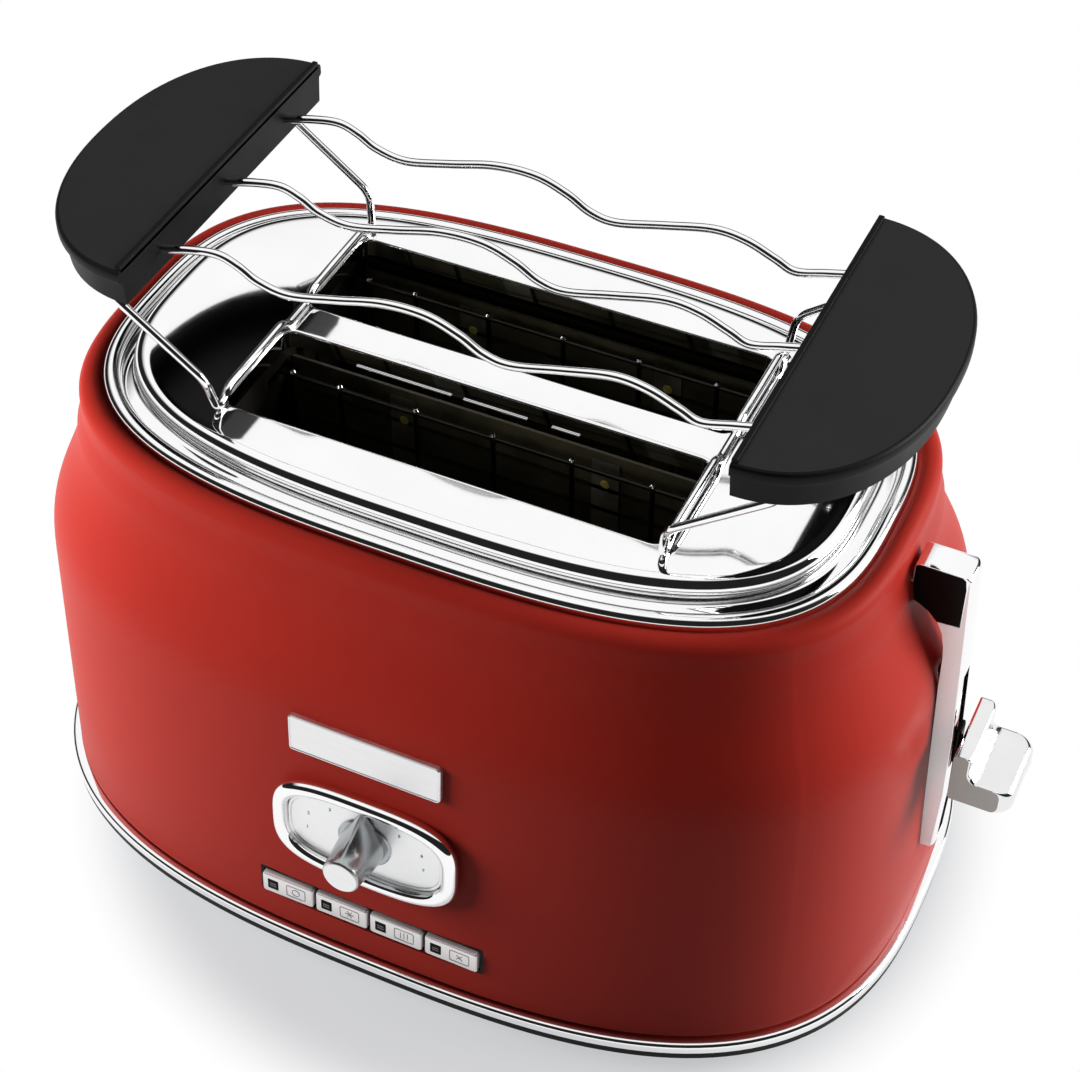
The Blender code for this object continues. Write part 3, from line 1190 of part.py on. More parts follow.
def make_rack(root):
    leg_end_z = HANDLE_CEILING_Z - FIT_GAP
    pivot = add_pivot("bun_rack_lift", root, (RACK_SHIFT, 0, LEG_FOOT_Z))
    for name, side in (("left", -1), ("right", 1)):
        make_handle("rack_handle_" + name, side, pivot)
        corners = []
        for end in (-1, 1):
            leg = [
                (RACK_SHIFT + side * LEG_TOP_X, end * LEG_TOP_Y, leg_end_z),
                (RACK_SHIFT + side * LEG_TOP_X, end * LEG_TOP_Y, LEG_TOP_Z),
                (RACK_SHIFT + side * LEG_KNEE_X, end * LEG_KNEE_Y, LEG_KNEE_Z),
                (RACK_SHIFT + side * LEG_FOOT_X, end * LEG_FOOT_Y, LEG_FOOT_Z),
                (RACK_SHIFT + side * LEG_FOOT_X, end * SLOT_OUTER_Y, LEG_FOOT_Z),
                (RACK_SHIFT + side * LEG_FOOT_X, end * (SLOT_OUTER_Y - LEG_STEP_RUN), LEG_STEP_Z),
                (RACK_SHIFT + side * LEG_FOOT_X, end * (SLOT_INNER_Y + LEG_STEP_RUN), LEG_STEP_Z),
                (RACK_SHIFT + side * LEG_FOOT_X, end * SLOT_INNER_Y, LEG_FOOT_Z),
            ]
            corners += leg if end < 0 else leg[::-1]
        add_wire("rack_leg_" + name, bent(corners, LEG_BEND), RACK_WIRE_RADIUS, pivot, CHROME)

    wire_end = HANDLE_INNER_X - FIT_GAP
    for name, y in (("front", -RACK_WIRE_Y), ("middle", 0), ("back", RACK_WIRE_Y)):
        wave = []
        for i in range(RACK_WIRE_STEPS + 1):
            x = RACK_SHIFT + wire_end * (2 * i / RACK_WIRE_STEPS - 1)
            turn = math.tau * (x - RACK_WAVE_CREST_X) / RACK_WAVE_LENGTH
            turn += RACK_WAVE_LEAN_SHARE * (1 - math.cos(turn))
            wave.append((x, y, RACK_WIRE_Z + RACK_WAVE_HEIGHT * math.cos(turn)))
        add_wire("rack_wire_" + name, wave, RACK_WIRE_RADIUS, pivot, CHROME)


def main():
    clear_scene()
    root = add_empty("toaster", None, (BODY_X, BODY_Y, 0))
    shell = make_shell(root)
    make_top(root)
    make_base(root)
    make_feet(root)
    make_tray(root)
    make_chamber(root)
    make_cages(root)
    carriage = add_pivot("carriage_slide", root, (ROD_X, ROD_Y, BRACKET_BOTTOM_Z))
    make_bread_racks(carriage)
    make_bracket(root, carriage)
    make_magnet(root, carriage)
    make_lever(root, carriage)
    front = wall_frame("front_wall", root, -1)
    make_dial(front, shell)
    make_badge(front, shell)
    make_buttons(front, shell)
    make_inlet(root, wall_frame("back_wall", root, 1), shell)
    make_rack(root)


main()
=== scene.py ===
"""The looks of the two-slot toaster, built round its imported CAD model."""

import math

import bmesh
import bpy
from mathutils import Matrix, Vector


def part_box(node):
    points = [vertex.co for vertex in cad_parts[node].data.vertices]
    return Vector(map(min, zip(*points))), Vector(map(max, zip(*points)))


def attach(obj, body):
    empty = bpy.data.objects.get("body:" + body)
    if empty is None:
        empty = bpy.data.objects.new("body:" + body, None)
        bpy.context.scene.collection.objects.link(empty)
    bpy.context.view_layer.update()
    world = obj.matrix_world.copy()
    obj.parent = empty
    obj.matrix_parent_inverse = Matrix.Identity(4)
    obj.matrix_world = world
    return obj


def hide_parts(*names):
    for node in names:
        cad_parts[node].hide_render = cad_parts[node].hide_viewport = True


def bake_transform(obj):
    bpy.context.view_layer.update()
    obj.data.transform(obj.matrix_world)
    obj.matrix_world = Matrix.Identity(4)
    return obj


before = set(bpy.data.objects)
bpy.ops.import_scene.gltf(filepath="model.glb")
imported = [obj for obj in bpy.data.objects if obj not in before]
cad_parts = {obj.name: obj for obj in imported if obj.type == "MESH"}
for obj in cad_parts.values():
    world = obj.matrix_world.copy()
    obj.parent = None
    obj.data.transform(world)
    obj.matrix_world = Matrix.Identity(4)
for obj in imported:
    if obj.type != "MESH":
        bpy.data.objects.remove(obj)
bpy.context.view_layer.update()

# Where the body's middle stands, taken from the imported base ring
RING_LOW, RING_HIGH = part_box("base_ring")
ORIGIN = Vector(((RING_LOW.x + RING_HIGH.x) / 2, (RING_LOW.y + RING_HIGH.y) / 2, 0))

# Oval plan of the rim's outer edge, and how finely it is drawn
RIM_X = 0.1227
RIM_Y = 0.0723
PLAN_POWER = 2.95
FOOT_POWER = 2.8
PLAN_SIDES = 224
FINE_SIDES = 2 * PLAN_SIDES

# Shell: heights above the table, and flares outwards from the rim's plan
SHELL_BOTTOM = 0.0126
SHELL_EDGE = 0.0011
SHELL_WALL = 0.0015
SHELL_STEPS = 60
SHOULDER_Z = 0.1120
SHOULDER_EASE = 0.15
SHOULDER_BLEND = 0.013
BLEND_STEPS = 8
NECK_Z = 0.1500
COLLAR_BEND = (0.0077, 0.1550)
COLLAR_Z = 0.1580
LIP_TOP = 0.1663
LIP_RADIUS = 0.0041
LIP_FOLD_STEPS = 7
LIP_FOLD_DROP = 0.0006
FOOT_FLARE = 0.0257
SHOULDER_FLARE = 0.0210
NECK_FLARE = 0.0089
COLLAR_FLARE = 0.0073
FRONT_BULGE = 0.0030
CUT_IN = 0.012
WINDOW_CUT_OUT = 0.005

# Rim ring and top plate
RIM_OUT = 0.0002
RIM_IN = -0.0064
RIM_FOOT_Z = 0.1625
RIM_STEP_Z = 0.1640
BEAD_Z = 0.1662
BEAD_WIDTH = 0.0048
BEAD_RISE = 0.0026
PLATE_GAP = 0.0003
PLATE_EDGE = 0.0003
PLATE_FOOT_Z = 0.1642
GROOVE_Z = 0.1655
GROOVE_WIDTH = 0.0036
GROOVE_BEND = 0.0008
PLATE_RISE = 0.0087
PLATE_RISE_FOOT = 0.0006
PLATE_RISE_WIDTH = 0.0055
PLATE_RISE_POWER = 0.68
PLATE_RISE_STEPS = 40
PLATE_TOP = GROOVE_Z + PLATE_RISE
LEVEL_ERROR = 1e-6

# Toast slots and the hems of the front one
SLOT_HALF = 0.0700
SLOT_IN = 0.0064
SLOT_OUT = 0.0437
SLOT_CORNER = 0.0040
SLOT_FOLD = 0.0009
SLOT_MARGIN = 0.0004
SLOT_LIP_BOTTOM = 0.1680
LIP_HEM_WIDTH = 0.0008
LIP_HEM_RISE = 0.0040
HEM_RADIUS = 0.0004
HEM_BACK = 0.0003
HEM_UP = 0.0001
HEM_SPANS = ((-0.046, -0.014), (-0.010, 0.011), (0.019, 0.028))

# Base ring, the line under it as inset and height, and a foot as radius and height
BASE_Z = 0.0083
BASE_TOP = 0.0123
BASE_BULGE = 0.0030
BASE_WIDTH = 0.0054
BASE_ROUND = 0.0016
BASE_CHAMFER = 0.0004
EDGE_TOP = 0.0082
EDGE_LINE = ((0.0003, EDGE_TOP), (0.0003, 0.0056), (0.0009, 0.0050), (0.0040, 0.0050), (0.0040, EDGE_TOP))
FOOT_LINE = (
    (0.0033, 0), (0.0074, 0), (0.0080, 0.0006), (0.0083, 0.0020),
    (0.0086, 0.0022), (0.0090, 0.0041), (0.0087, 0.0047), (0.0017, 0.0047),
    (0.0017, 0.0024), (0.0033, 0.0024),
)

# Front wall: its tilt and the places on it, measured up the wall
WALL_FOOT_Y = 0.1010
WALL_LEAN = 0.0077
WALL_RISE = 0.0994
WALL_TILT = math.atan2(WALL_LEAN, WALL_RISE)
DIAL_UP = 0.0550
BADGE_UP = 0.0908
BUTTON_UP = 0.0172
GLAND_UP = 0.0120
GLAND_HOLE = 0.0054
GLAND_CUT_OUT = 0.004

# Dial: bezel, face and track as inset and height
BEZEL_HALF = (0.0314, 0.0186)
BEZEL_POWER = 3.2
BEZEL_FOOT = ((0.0014, -0.0020), (0.0003, 0.0004), (0.0, 0.0010))
BEZEL_ROUND = 0.0025
BEZEL_ROUND_Z = 0.0020
BEZEL_INSIDE = ((0.0048, 0.0018), (0.0048, -0.0020))
FACE_LINE = ((0.0049, -0.0020), (0.0049, 0.0013), (0.0052, 0.0016))
TRACK_LINE = ((0.0050, 0.00162), (0.0053, 0.0020), (0.0059, 0.0020), (0.0062, 0.00162))
DIAL_SIDES = 120
DIGITS = 7
DIGIT_START = -105
DIGIT_STEP = 35
DIGIT_SIZE = 0.0018
DIGIT_DEPTH = 0.00004
DIGIT_Z = 0.00164
DIGIT_HALF = (0.0205, 0.0104)

# Dial knob: its round and pointer at the face and at the tip, its end as height and inset,
# and its cap and foot as radius and height
DIAL_ROUND = (0.0074, 0.0061)
DIAL_POINTER = (0.0138, 0.0062)
POINTER_BLUNT = 0.0007
POINTER_WIDEST = 1
DIAL_KNOB_FOOT = 0.0022
DIAL_TAPER = (0.0040, 0.0166)
DIAL_TAPER_STEPS = 10
DIAL_KNOB_END = ((0.0169, 0.0001), (0.0172, 0.0005))
CAP_LINE = ((0.0052, 0.0168), (0.0056, 0.01725), (0.0054, 0.0174), (0.0003, 0.0174))
DIAL_FOOT_LINE = ((0.0090, 0.0016), (0.0090, 0.0020), (0.0086, 0.0023), (0.0060, 0.0023))

# Badge, as inset and height
BADGE_HALF = (0.0251, 0.0070)
BADGE_CORNER = 0.0014
BADGE_LINE = ((0, -0.0012), (0, 0.0012), (0.0003, 0.0016), (0.0006, 0.0016), (0.0008, 0.0014))

# Buttons, their lamps, the pale bars on the lamps that are painted glints, and icons
BUTTON_COUNT = 4
BUTTON_PITCH = 0.0192
BUTTON_HALF = (0.00905, 0.00405)
BUTTON_CORNER = 0.0009
BUTTON_LINE = ((0, -0.0055), (0, 0.0003), (0.00015, 0.00065), (0.0005, 0.0008))
WINDOW_HALF = (BUTTON_PITCH * 2 + 0.0008, 0.0058)
WINDOW_CORNER = 0.0006
LAMP_SHIFT = -0.0052
LAMP_HALF = (0.0019, 0.0021)
LAMP_CORNER = 0.0003
LAMP_Z = (0.0006, 0.00088)
LAMP_BEVEL = 0.0001
GLINT_HALF = (0.0011, 0.0002)
GLINT_CORNER = 0.0001
GLINT_UPS = (0.0004, -0.0006)
GLINT_Z = (0.0008, 0.00092)
ICON_SHIFT = 0.0030
ICON_HALF = (0.0034, 0.0024)
ICON_CORNER = 0.0006
ICON_WIDTH = 0.0002
ICON_Z = (0.00082, 0.00090)
ICON_RADIUS = 0.0014
ICON_STAR = 0.0015
ICON_BARS = 0.0013
ICON_BAR_SHIFTS = (-0.0012, 0, 0.0012)
ICON_CROSS = 0.0014

# Lever arm, as blocks with their lower and upper corners, and the slots that it runs in
ARM_LOW = 0.0790
ARM_HIGH = 0.0930
ARM_BEVEL = 0.0003
ARM_BLOCKS = (
    ((0.0798, -0.0022, ARM_LOW), (0.1530, 0.0022, ARM_HIGH)),
    ((0.1530, -0.0030, ARM_LOW + 0.0006), (0.1575, 0.0030, ARM_LOW + 0.0076)),
    ((0.1478, -0.0026, ARM_LOW - 0.0004), (0.1528, 0.0026, ARM_HIGH + 0.0004)),
)
ARM_SLOT_Z = (0.0424, 0.1170)
ARM_SLOT_HALF = 0.0028
SHELL_SLOT_X = (0.078, 0.156)
BAR_SLOT_X = (0.12, 0.16)

# Lever bar, the gloss black piece on each side of its top block, which is a painted dark reflection, and the
# plates on its sides, as outlines seen from the front
BAR_HALF = 0.0050
BAR_ROUND = 0.0030
BAR_FALL = 0.3
BAR_BEVEL = 0.0004
BAR_SHARP = 40
BAR_OUTER = (
    (0.1504, 0.0388), (0.1516, 0.0400), (0.1523, 0.0650), (0.1519, 0.0910),
    (0.1508, 0.1160), (0.1499, 0.1360), (0.1489, 0.1565), (0.1484, 0.1578),
    (0.1473, 0.1585),
)
BAR_INNER = (
    (0.1330, 0.1585), (0.1317, 0.1577), (0.1315, 0.1563), (0.1315, 0.1445),
    (0.1345, 0.1432), (0.1374, 0.1413), (0.1401, 0.1378), (0.1424, 0.1336),
    (0.1434, 0.1290), (0.1438, 0.1240), (0.1440, 0.1120), (0.1468, 0.0388),
)
# Outline of the gloss black pieces on the top block: a painted dark reflection
DARK_REFLECTION_LINE = (
    (0.1317, 0.1446), (0.1347, 0.1433), (0.1376, 0.1414), (0.1402, 0.1384),
    (0.1472, 0.1388), (0.1472, 0.1540), (0.1467, 0.1574), (0.1456, 0.1583),
    (0.1331, 0.1583), (0.1319, 0.1576),
)
BAR_SIDE_LINE = (
    (0.1470, 0.0390), (0.1505, 0.0392), (0.1513, 0.0650), (0.1509, 0.0910),
    (0.1498, 0.1160), (0.1489, 0.1360), (0.1479, 0.1560), (0.1476, 0.1570),
    (0.1472, 0.1386), (0.1406, 0.1382), (0.1425, 0.1340), (0.1435, 0.1290),
    (0.1439, 0.1240), (0.1441, 0.1120),
)
SIDES = (("near", -1), ("far", 1))
SIDE_SUNK = 0.0002
DARK_REFLECTION_PROUD = 0.0001
BAR_SIDE_PROUD = 0.00006

# Lever knob: its side view as arcs with centre, radius, start, end and steps, and a last corner
KNOB_X = 0.1540
KNOB_Z = 0.0745
KNOB_HALF = 0.0128
KNOB_ROUND = 0.0040
KNOB_LENGTH = 0.0195
KNOB_BEVEL = 0.0011
KNOB_SHADE_PROUD = 0.0001
KNOB_ARCS = (
    ((0.0165, 0.0030), 0.0030, -90, 0, 8),
    ((0.0165, 0.0062), 0.0030, 0, 90, 8),
    ((0.0098, 0.0132), 0.0040, 270, 180, 12),
    ((0.0045, 0.0182), 0.0013, 0, 90, 6),
    ((0.0010, 0.0185), 0.0010, 90, 180, 5),
)
KNOB_CORNER = ((0.0, 0.0010), (0.0010, 0.0))

# Bun rack wires: a waved one as places along it with their heights
RACK_SHIFT = 0.0010
WIRE_RADIUS = 0.0013
WIRE_Y = 0.0354
WAVE = (
    (-0.0940, 0.2170), (-0.0805, 0.2208), (-0.0715, 0.2222), (-0.0652, 0.2202),
    (-0.0590, 0.2167), (-0.0490, 0.2151), (-0.0340, 0.2186), (-0.0190, 0.2226),
    (-0.0060, 0.2230), (0.0040, 0.2197), (0.0115, 0.2155), (0.0200, 0.2144),
    (0.0350, 0.2182), (0.0500, 0.2218), (0.0600, 0.2210), (0.0690, 0.2175),
    (0.0755, 0.2150), (0.0850, 0.2175), (0.0940, 0.2200),
)

# Half of a leg wire, from the handle down to the plate and over the slot's end
LEG_X = 0.1030
LEG_Y = 0.0500
LEG_FOOT_X = 0.0705
LEG_LOW = PLATE_TOP + WIRE_RADIUS + 0.0001
LEG_HIGH = LEG_LOW + 0.0027
LEG_STEP = 0.0030
LEG_BEND = 0.0040
LEG_LINE = (
    (LEG_X, LEG_Y, 0.2232),
    (LEG_X, LEG_Y, 0.2110),
    (0.0720, LEG_Y, 0.1870),
    (LEG_FOOT_X, 0.0480, LEG_LOW),
    (LEG_FOOT_X, SLOT_OUT, LEG_LOW),
    (LEG_FOOT_X, SLOT_OUT - LEG_STEP, LEG_HIGH),
    (LEG_FOOT_X, SLOT_IN + LEG_STEP, LEG_HIGH),
    (LEG_FOOT_X, SLOT_IN, LEG_LOW),
)

# Bun rack handles: rings as inset, how far the straight side stands out, and height
HANDLE_X = 0.0910
HANDLE_DEPTH = 0.0425
HANDLE_HALF = 0.0577
HANDLE_POWER = 2.2
HANDLE_STEPS = 60
HANDLE_TOP = 0.2250
HANDLE_BOTTOM = 0.2125
HANDLE_LEVELS = (
    (0.0025, 0.0015, 0.2235),
    (0.0037, 0.0015, HANDLE_BOTTOM),
    (0.0022, 0.0, HANDLE_BOTTOM),
    (0.0014, 0.0, 0.2203),
    (0.0013, 0.0, 0.2207),
    (0.0002, 0.0, 0.2211),
    (0.0, 0.0, 0.2216),
    (0.0, 0.0, 0.2238),
    (0.0003, 0.0, 0.2246),
    (0.0010, 0.0, HANDLE_TOP),
)
HANDLE_FACE = (
    (0.0012, 0.0004, HANDLE_TOP - 0.0003),
    (0.0012, 0.0004, HANDLE_TOP + 0.00006),
)
RIDGE_WIDTH = 0.0018
RIDGE_SHORT = 0.0012
RIDGE_Z = (0.2236, HANDLE_TOP + 0.0012)
RIDGE_BEVEL = 0.0004

# Heaters: boards with their places and the faces that carry ribbons
HEATERS = (("front", -0.0479, (1,)), ("centre", 0, (-1, 1)), ("back", 0.0479, (-1,)))
HEATER_FACE = 0.0006
HEATER_TRIM = 0.0002
RIBBON_ROWS = 12
RIBBON_HALF = 0.070
RIBBON_FOOT_Z = 0.036
RIBBON_PITCH = 0.0098
RIBBON_TILT = 0.0012
RIBBON_WIDTH = 0.0016
STRIP_XS = (-0.034, 0.034)
STRIP_HALF = 0.0045
STRIP_Z = (0.032, 0.155)
RIVET_ZS = (0.050, 0.100, 0.146)
RIVET_LINE = ((0.0016, 0), (0.0014, 0.0002), (0.0006, 0.0003))

# Lift spring
SPRING_WIRE = 0.0006
SPRING_TURNS = 11
SPRING_STEPS = 24

# Bread guide cages: runs along and up, and the tips above the top run as radius and height
CAGES = (("front_outer", -0.0426), ("front_inner", -0.0075), ("back_inner", 0.0075), ("back_outer", 0.0426))
CAGE_WIRE = 0.0008
CAGE_HALF = 0.0754
CAGE_RUN_ZS = (0.0480, 0.1570)
CAGE_XS = (-0.0685, -0.052, -0.026, 0, 0.026, 0.052, 0.0685)
CAGE_UPRIGHT_ZS = (0.0472, 0.1560)
CAGE_TIP_LINE = ((0.0003, 0.1572), (0.0010, 0.1576), (0.0011, 0.1584), (0.0006, 0.1592))

# Studio: camera, lamps, floor and world
CAMERA_LENS = 77.6
CAMERA_SENSOR = 36
CAMERA_NEAR = 0.05
CAMERA_AZIMUTH = 25.2
CAMERA_ELEVATION = 44.7
CAMERA_DISTANCE = 0.7483
CAMERA_AIM = (0.00584, 0.01314, 0.100)
LAMP_AIM = (0, 0, 0.1)
FLOOR_HALF = 6.0
FLOOR_COLOUR = (0.60, 0.61, 0.63, 1)
FLOOR_ROUGHNESS = 0.5
# The floor's painted shadow pool: inside an oval round the body a grey glow is mixed with the lit floor and
# its real shadow, fading to white between the oval's start and end sizes
SHADOW_POOL_GLOW = (0.87, 0.88, 0.90, 1)
SHADOW_POOL_GLOW_SHARE = 0.60
FLOOR_DULL = (0.035, 0.035, 0.037, 1)
SHADOW_POOL_SHIFT = (-0.0667, 0, 0)
SHADOW_POOL_SCALE = (6.67, 7.04, 0)
SHADOW_POOL_START = 0.88
SHADOW_POOL_END = 1.10
WHITE = (1, 1, 1, 1)
STUDIO_FRONT = (0.42, -0.91, 0)
STUDIO_FRONT_DROP = 0.9
STUDIO_DARK = 0.015
STUDIO_START = 0.44
STUDIO_END = 0.60
STUDIO_FILL = 0.03

# Finish textures
NOISE_ROUGHNESS = 0.6
MOTTLE_LOW = 0.3
MOTTLE_HIGH = 0.7


# Finishes


def node(tree, kind, inputs=(), **settings):
    made = tree.nodes.new(kind)
    for key, value in settings.items():
        setattr(made, key, value)
    for key, value in dict(inputs).items():
        if isinstance(value, bpy.types.NodeSocket):
            tree.links.new(value, made.inputs[key])
        else:
            made.inputs[key].default_value = value
    return made


def noise(tree, scale, detail, stretch):
    """Noise in the piece's own coordinates, at a number of grains to the metre."""
    place = node(tree, "ShaderNodeTexCoord").outputs["Object"]
    place = node(tree, "ShaderNodeMapping", {"Vector": place, "Scale": stretch}).outputs[0]
    inputs = {"Vector": place, "Scale": scale, "Detail": detail, "Roughness": NOISE_ROUGHNESS}
    return node(tree, "ShaderNodeTexNoise", inputs).outputs["Fac"]


def ramp(tree, factor, low, high):
    made = node(tree, "ShaderNodeValToRGB", {"Fac": factor})
    for element, place, colour in zip(made.color_ramp.elements, (MOTTLE_LOW, MOTTLE_HIGH), (low, high)):
        element.position = place
        element.color = (*colour, 1)
    return made.outputs[0]


def spread(tree, factor, low, high):
    inputs = {"Value": factor, "From Min": MOTTLE_LOW, "From Max": MOTTLE_HIGH, "To Min": low, "To Max": high}
    return node(tree, "ShaderNodeMapRange", inputs).outputs[0]


def material(name, dark, light, rough, metal=0.0, mottle=60, grain=900, bump=0.0, stretch=(1, 1, 1), **extra):
    """Two tones mixed by a mottle, a roughness that drifts between two values, and a fine grain."""
    made = bpy.data.materials.new(name)
    made.use_nodes = True
    tree = made.node_tree
    shader = tree.nodes["Principled BSDF"]
    shader.inputs["Metallic"].default_value = metal
    patches = noise(tree, mottle, 4, stretch)
    tree.links.new(ramp(tree, patches, dark, light), shader.inputs["Base Color"])
    tree.links.new(spread(tree, patches, *rough), shader.inputs["Roughness"])
    if bump:
        fine = noise(tree, grain, 2, stretch)
        rise = node(tree, "ShaderNodeBump", {"Height": fine, "Distance": bump, "Strength": 1.0})
        tree.links.new(rise.outputs[0], shader.inputs["Normal"])
    for key, value in extra.items():
        shader.inputs[key.replace("_", " ")].default_value = value
    made.diffuse_color = (*light, 1)
    return made


LACQUER = material(
    "red_lacquer", (0.49, 0.030, 0.020), (0.55, 0.036, 0.024), (0.44, 0.50),
    mottle=14, grain=2600, bump=0.000004, Specular_IOR_Level=0.20, Specular_Tint=(1.0, 0.22, 0.16, 1.0),
)
CHROME_TONES = ((0.93, 0.93, 0.935), (0.97, 0.97, 0.97))
CHROME = material("chrome", *CHROME_TONES, (0.04, 0.07), metal=1.0, mottle=40)
RIM_CHROME = material("rim_chrome", *CHROME_TONES, (0.085, 0.11), metal=1.0, mottle=40)
SOFT_CHROME = material("soft_chrome", (0.80, 0.80, 0.805), (0.86, 0.86, 0.86), (0.10, 0.15), metal=1.0)
GREY_CHROME = material("grey_chrome", (0.42, 0.44, 0.45), (0.50, 0.52, 0.53), (0.20, 0.28), 0.9, mottle=80)
PALE_SATIN = material("pale_satin", (0.92, 0.96, 0.96), (0.96, 0.99, 0.99), (0.48, 0.58), 1.0, mottle=200)
# A flat warm grey that stands for shade on the lever knob's side faces: painted shade
KNOB_SHADE_GREY = material("painted_knob_shade", (0.40, 0.395, 0.37), (0.46, 0.455, 0.43), (0.45, 0.55), 0.8, mottle=200)
SATIN = material(
    "satin_silver", (0.84, 0.84, 0.845), (0.90, 0.90, 0.905), (0.36, 0.44),
    metal=1.0, mottle=500, grain=2200, bump=0.000003, stretch=(0.2, 1, 1),
)
BLACK = material(
    "black_plastic", (0.004, 0.004, 0.004), (0.007, 0.007, 0.007), (0.42, 0.52),
    mottle=90, grain=2400, bump=0.00003, Specular_IOR_Level=0.12,
)
HANDLE = material(
    "handle_plastic", (0.005, 0.005, 0.005), (0.010, 0.010, 0.010), (0.58, 0.70),
    grain=1500, bump=0.00004, Specular_IOR_Level=0.42,
)
GLOSS_BLACK = material(
    "gloss_black", (0.003, 0.003, 0.003), (0.005, 0.005, 0.005), (0.20, 0.28),
    mottle=70, Specular_IOR_Level=0.06,
)
RUBBER = material(
    "rubber", (0.014, 0.014, 0.014), (0.024, 0.024, 0.024), (0.75, 0.9),
    mottle=200, grain=1800, bump=0.00004,
)
IVORY = material(
    "ivory_plastic", (0.90, 0.865, 0.86), (0.95, 0.915, 0.91), (0.34, 0.42),
    metal=0.75, mottle=120, grain=2600, bump=0.000004,
)
DIAL = material(
    "dial_plate", (0.90, 0.905, 0.91), (0.95, 0.95, 0.95), (0.32, 0.40),
    metal=0.9, mottle=200, grain=2400, bump=0.000003,
)
# Pale print for the dial numbers and icons, also used for the painted glints on the button lamps
PALE_PRINT_AND_GLINT = material("pale_print_and_painted_glint", (0.27, 0.265, 0.25), (0.35, 0.34, 0.32), (0.5, 0.6), mottle=300)
STEEL = material(
    "plain_steel", (0.36, 0.36, 0.37), (0.47, 0.47, 0.48), (0.26, 0.40),
    metal=1.0, mottle=160, grain=1500, bump=0.000006, stretch=(0.08, 1, 1),
)
CAGE_STEEL = material("cage_steel", (0.03, 0.028, 0.022), (0.06, 0.055, 0.045), (0.35, 0.5), metal=1.0)
DARK_STEEL = material(
    "heated_steel", (0.10, 0.09, 0.075), (0.20, 0.18, 0.15), (0.30, 0.45),
    metal=1.0, bump=0.00001, stretch=(0.2, 1, 1),
)
MICA = material(
    "mica", (0.042, 0.038, 0.020), (0.105, 0.093, 0.054), (0.35, 0.6),
    mottle=70, grain=700, bump=0.00006,
)
STRIP = material("clip_strip", (0.13, 0.12, 0.085), (0.25, 0.235, 0.18), (0.35, 0.5), metal=0.2, mottle=120)
RIBBON = material("ribbon", (0.05, 0.045, 0.035), (0.11, 0.10, 0.08), (0.3, 0.45), metal=0.8, mottle=300)
BRASS = material("brass", (0.80, 0.68, 0.10), (0.90, 0.78, 0.16), (0.25, 0.4), metal=0.2, mottle=300)
BOARD = material("circuit_board", (0.01, 0.09, 0.03), (0.02, 0.15, 0.06), (0.35, 0.5), mottle=200)

# The CAD solids that keep their own shape, by finish
NODE_FINISHES = (
    (BLACK, "base_pan button_frame cord_gland terminal_block"),
    (STEEL, "crumb_tray carriage_bracket guide_rod electromagnet armature_plate dial_shaft"),
    (STEEL, "dial_potentiometer foot_screw_1 foot_screw_2 foot_screw_3 foot_screw_4"),
    (DARK_STEEL, "end_plate_far end_plate_lever heat_shield_front heat_shield_back"),
    (DARK_STEEL, "bread_rack_front bread_rack_back"),
    (MICA, "heater_board_front heater_board_centre heater_board_back"),
    (BOARD, "control_board"),
)


# Shapes


def keep(name, mesh, body, finish, replaced=()):
    obj = bpy.data.objects.new(name, mesh)
    bpy.context.scene.collection.objects.link(obj)
    obj.location = ORIGIN
    obj.data.materials.append(finish)
    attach(obj, body)
    if replaced:
        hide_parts(*replaced)
    return obj


def soften(obj, width, steps, sharp):
    made = obj.modifiers.new("soft edges", "BEVEL")
    made.width = width
    made.segments = steps
    made.limit_method = "ANGLE"
    made.angle_limit = math.radians(sharp)
    made.harden_normals = True


def settled(bm, name, turn=None):
    """A mesh from a bmesh, turned and with its faces looking outwards."""
    if turn is not None:
        bmesh.ops.transform(bm, matrix=turn, verts=bm.verts)
    bmesh.ops.recalc_face_normals(bm, faces=bm.faces)
    mesh = bpy.data.meshes.new(name)
    bm.to_mesh(mesh)
    bm.free()
    return mesh


def solid(name, bm, body, finish, replaced=(), turn=None, sharp=35, bevel=0.0, steps=2):
    """A finished piece from a bmesh in the body's own frame, or in a wall's frame given by turn."""
    mesh = settled(bm, name, turn)
    mesh.shade_smooth()
    if not bevel:
        mesh.set_sharp_from_angle(angle=math.radians(sharp))
    obj = keep(name, mesh, body, finish, replaced)
    if bevel:
        soften(obj, bevel, steps, sharp)
    return obj


def stitch(bm, loop, after):
    """A band of faces between two loops of the same count."""
    for j in range(len(loop)):
        k = (j + 1) % len(loop)
        bm.faces.new((loop[j], loop[k], after[k], after[j]))


def loft(rings, closed=False, caps=True):
    bm = bmesh.new()
    loops = [[bm.verts.new(point) for point in ring] for ring in rings]
    following = loops[1:] + loops[:1] if closed else loops[1:]
    for loop, after in zip(loops, following):
        stitch(bm, loop, after)
    if caps and not closed:
        bm.faces.new(loops[0])
        bm.faces.new(loops[-1])
    return bm


def merge(parts):
    """One bmesh from several."""
    whole = bmesh.new()
    for part in parts:
        mesh = bpy.data.meshes.new("part")
        part.to_mesh(mesh)
        part.free()
        whole.from_mesh(mesh)
        bpy.data.meshes.remove(mesh)
    return whole


def box(low, high):
    x0, y0, z0 = low
    x1, y1, z1 = high
    return loft([((x0, y0, z), (x1, y0, z), (x1, y1, z), (x0, y1, z)) for z in (z0, z1)])


def placed(point, level, axis):
    """A point of an outline with its third coordinate put in."""
    spots = list(point)
    spots.insert(axis, level)
    return spots


def prism(outline, low, high, axis=2):
    return loft([[placed(point, level, axis) for point in outline] for level in (low, high)])


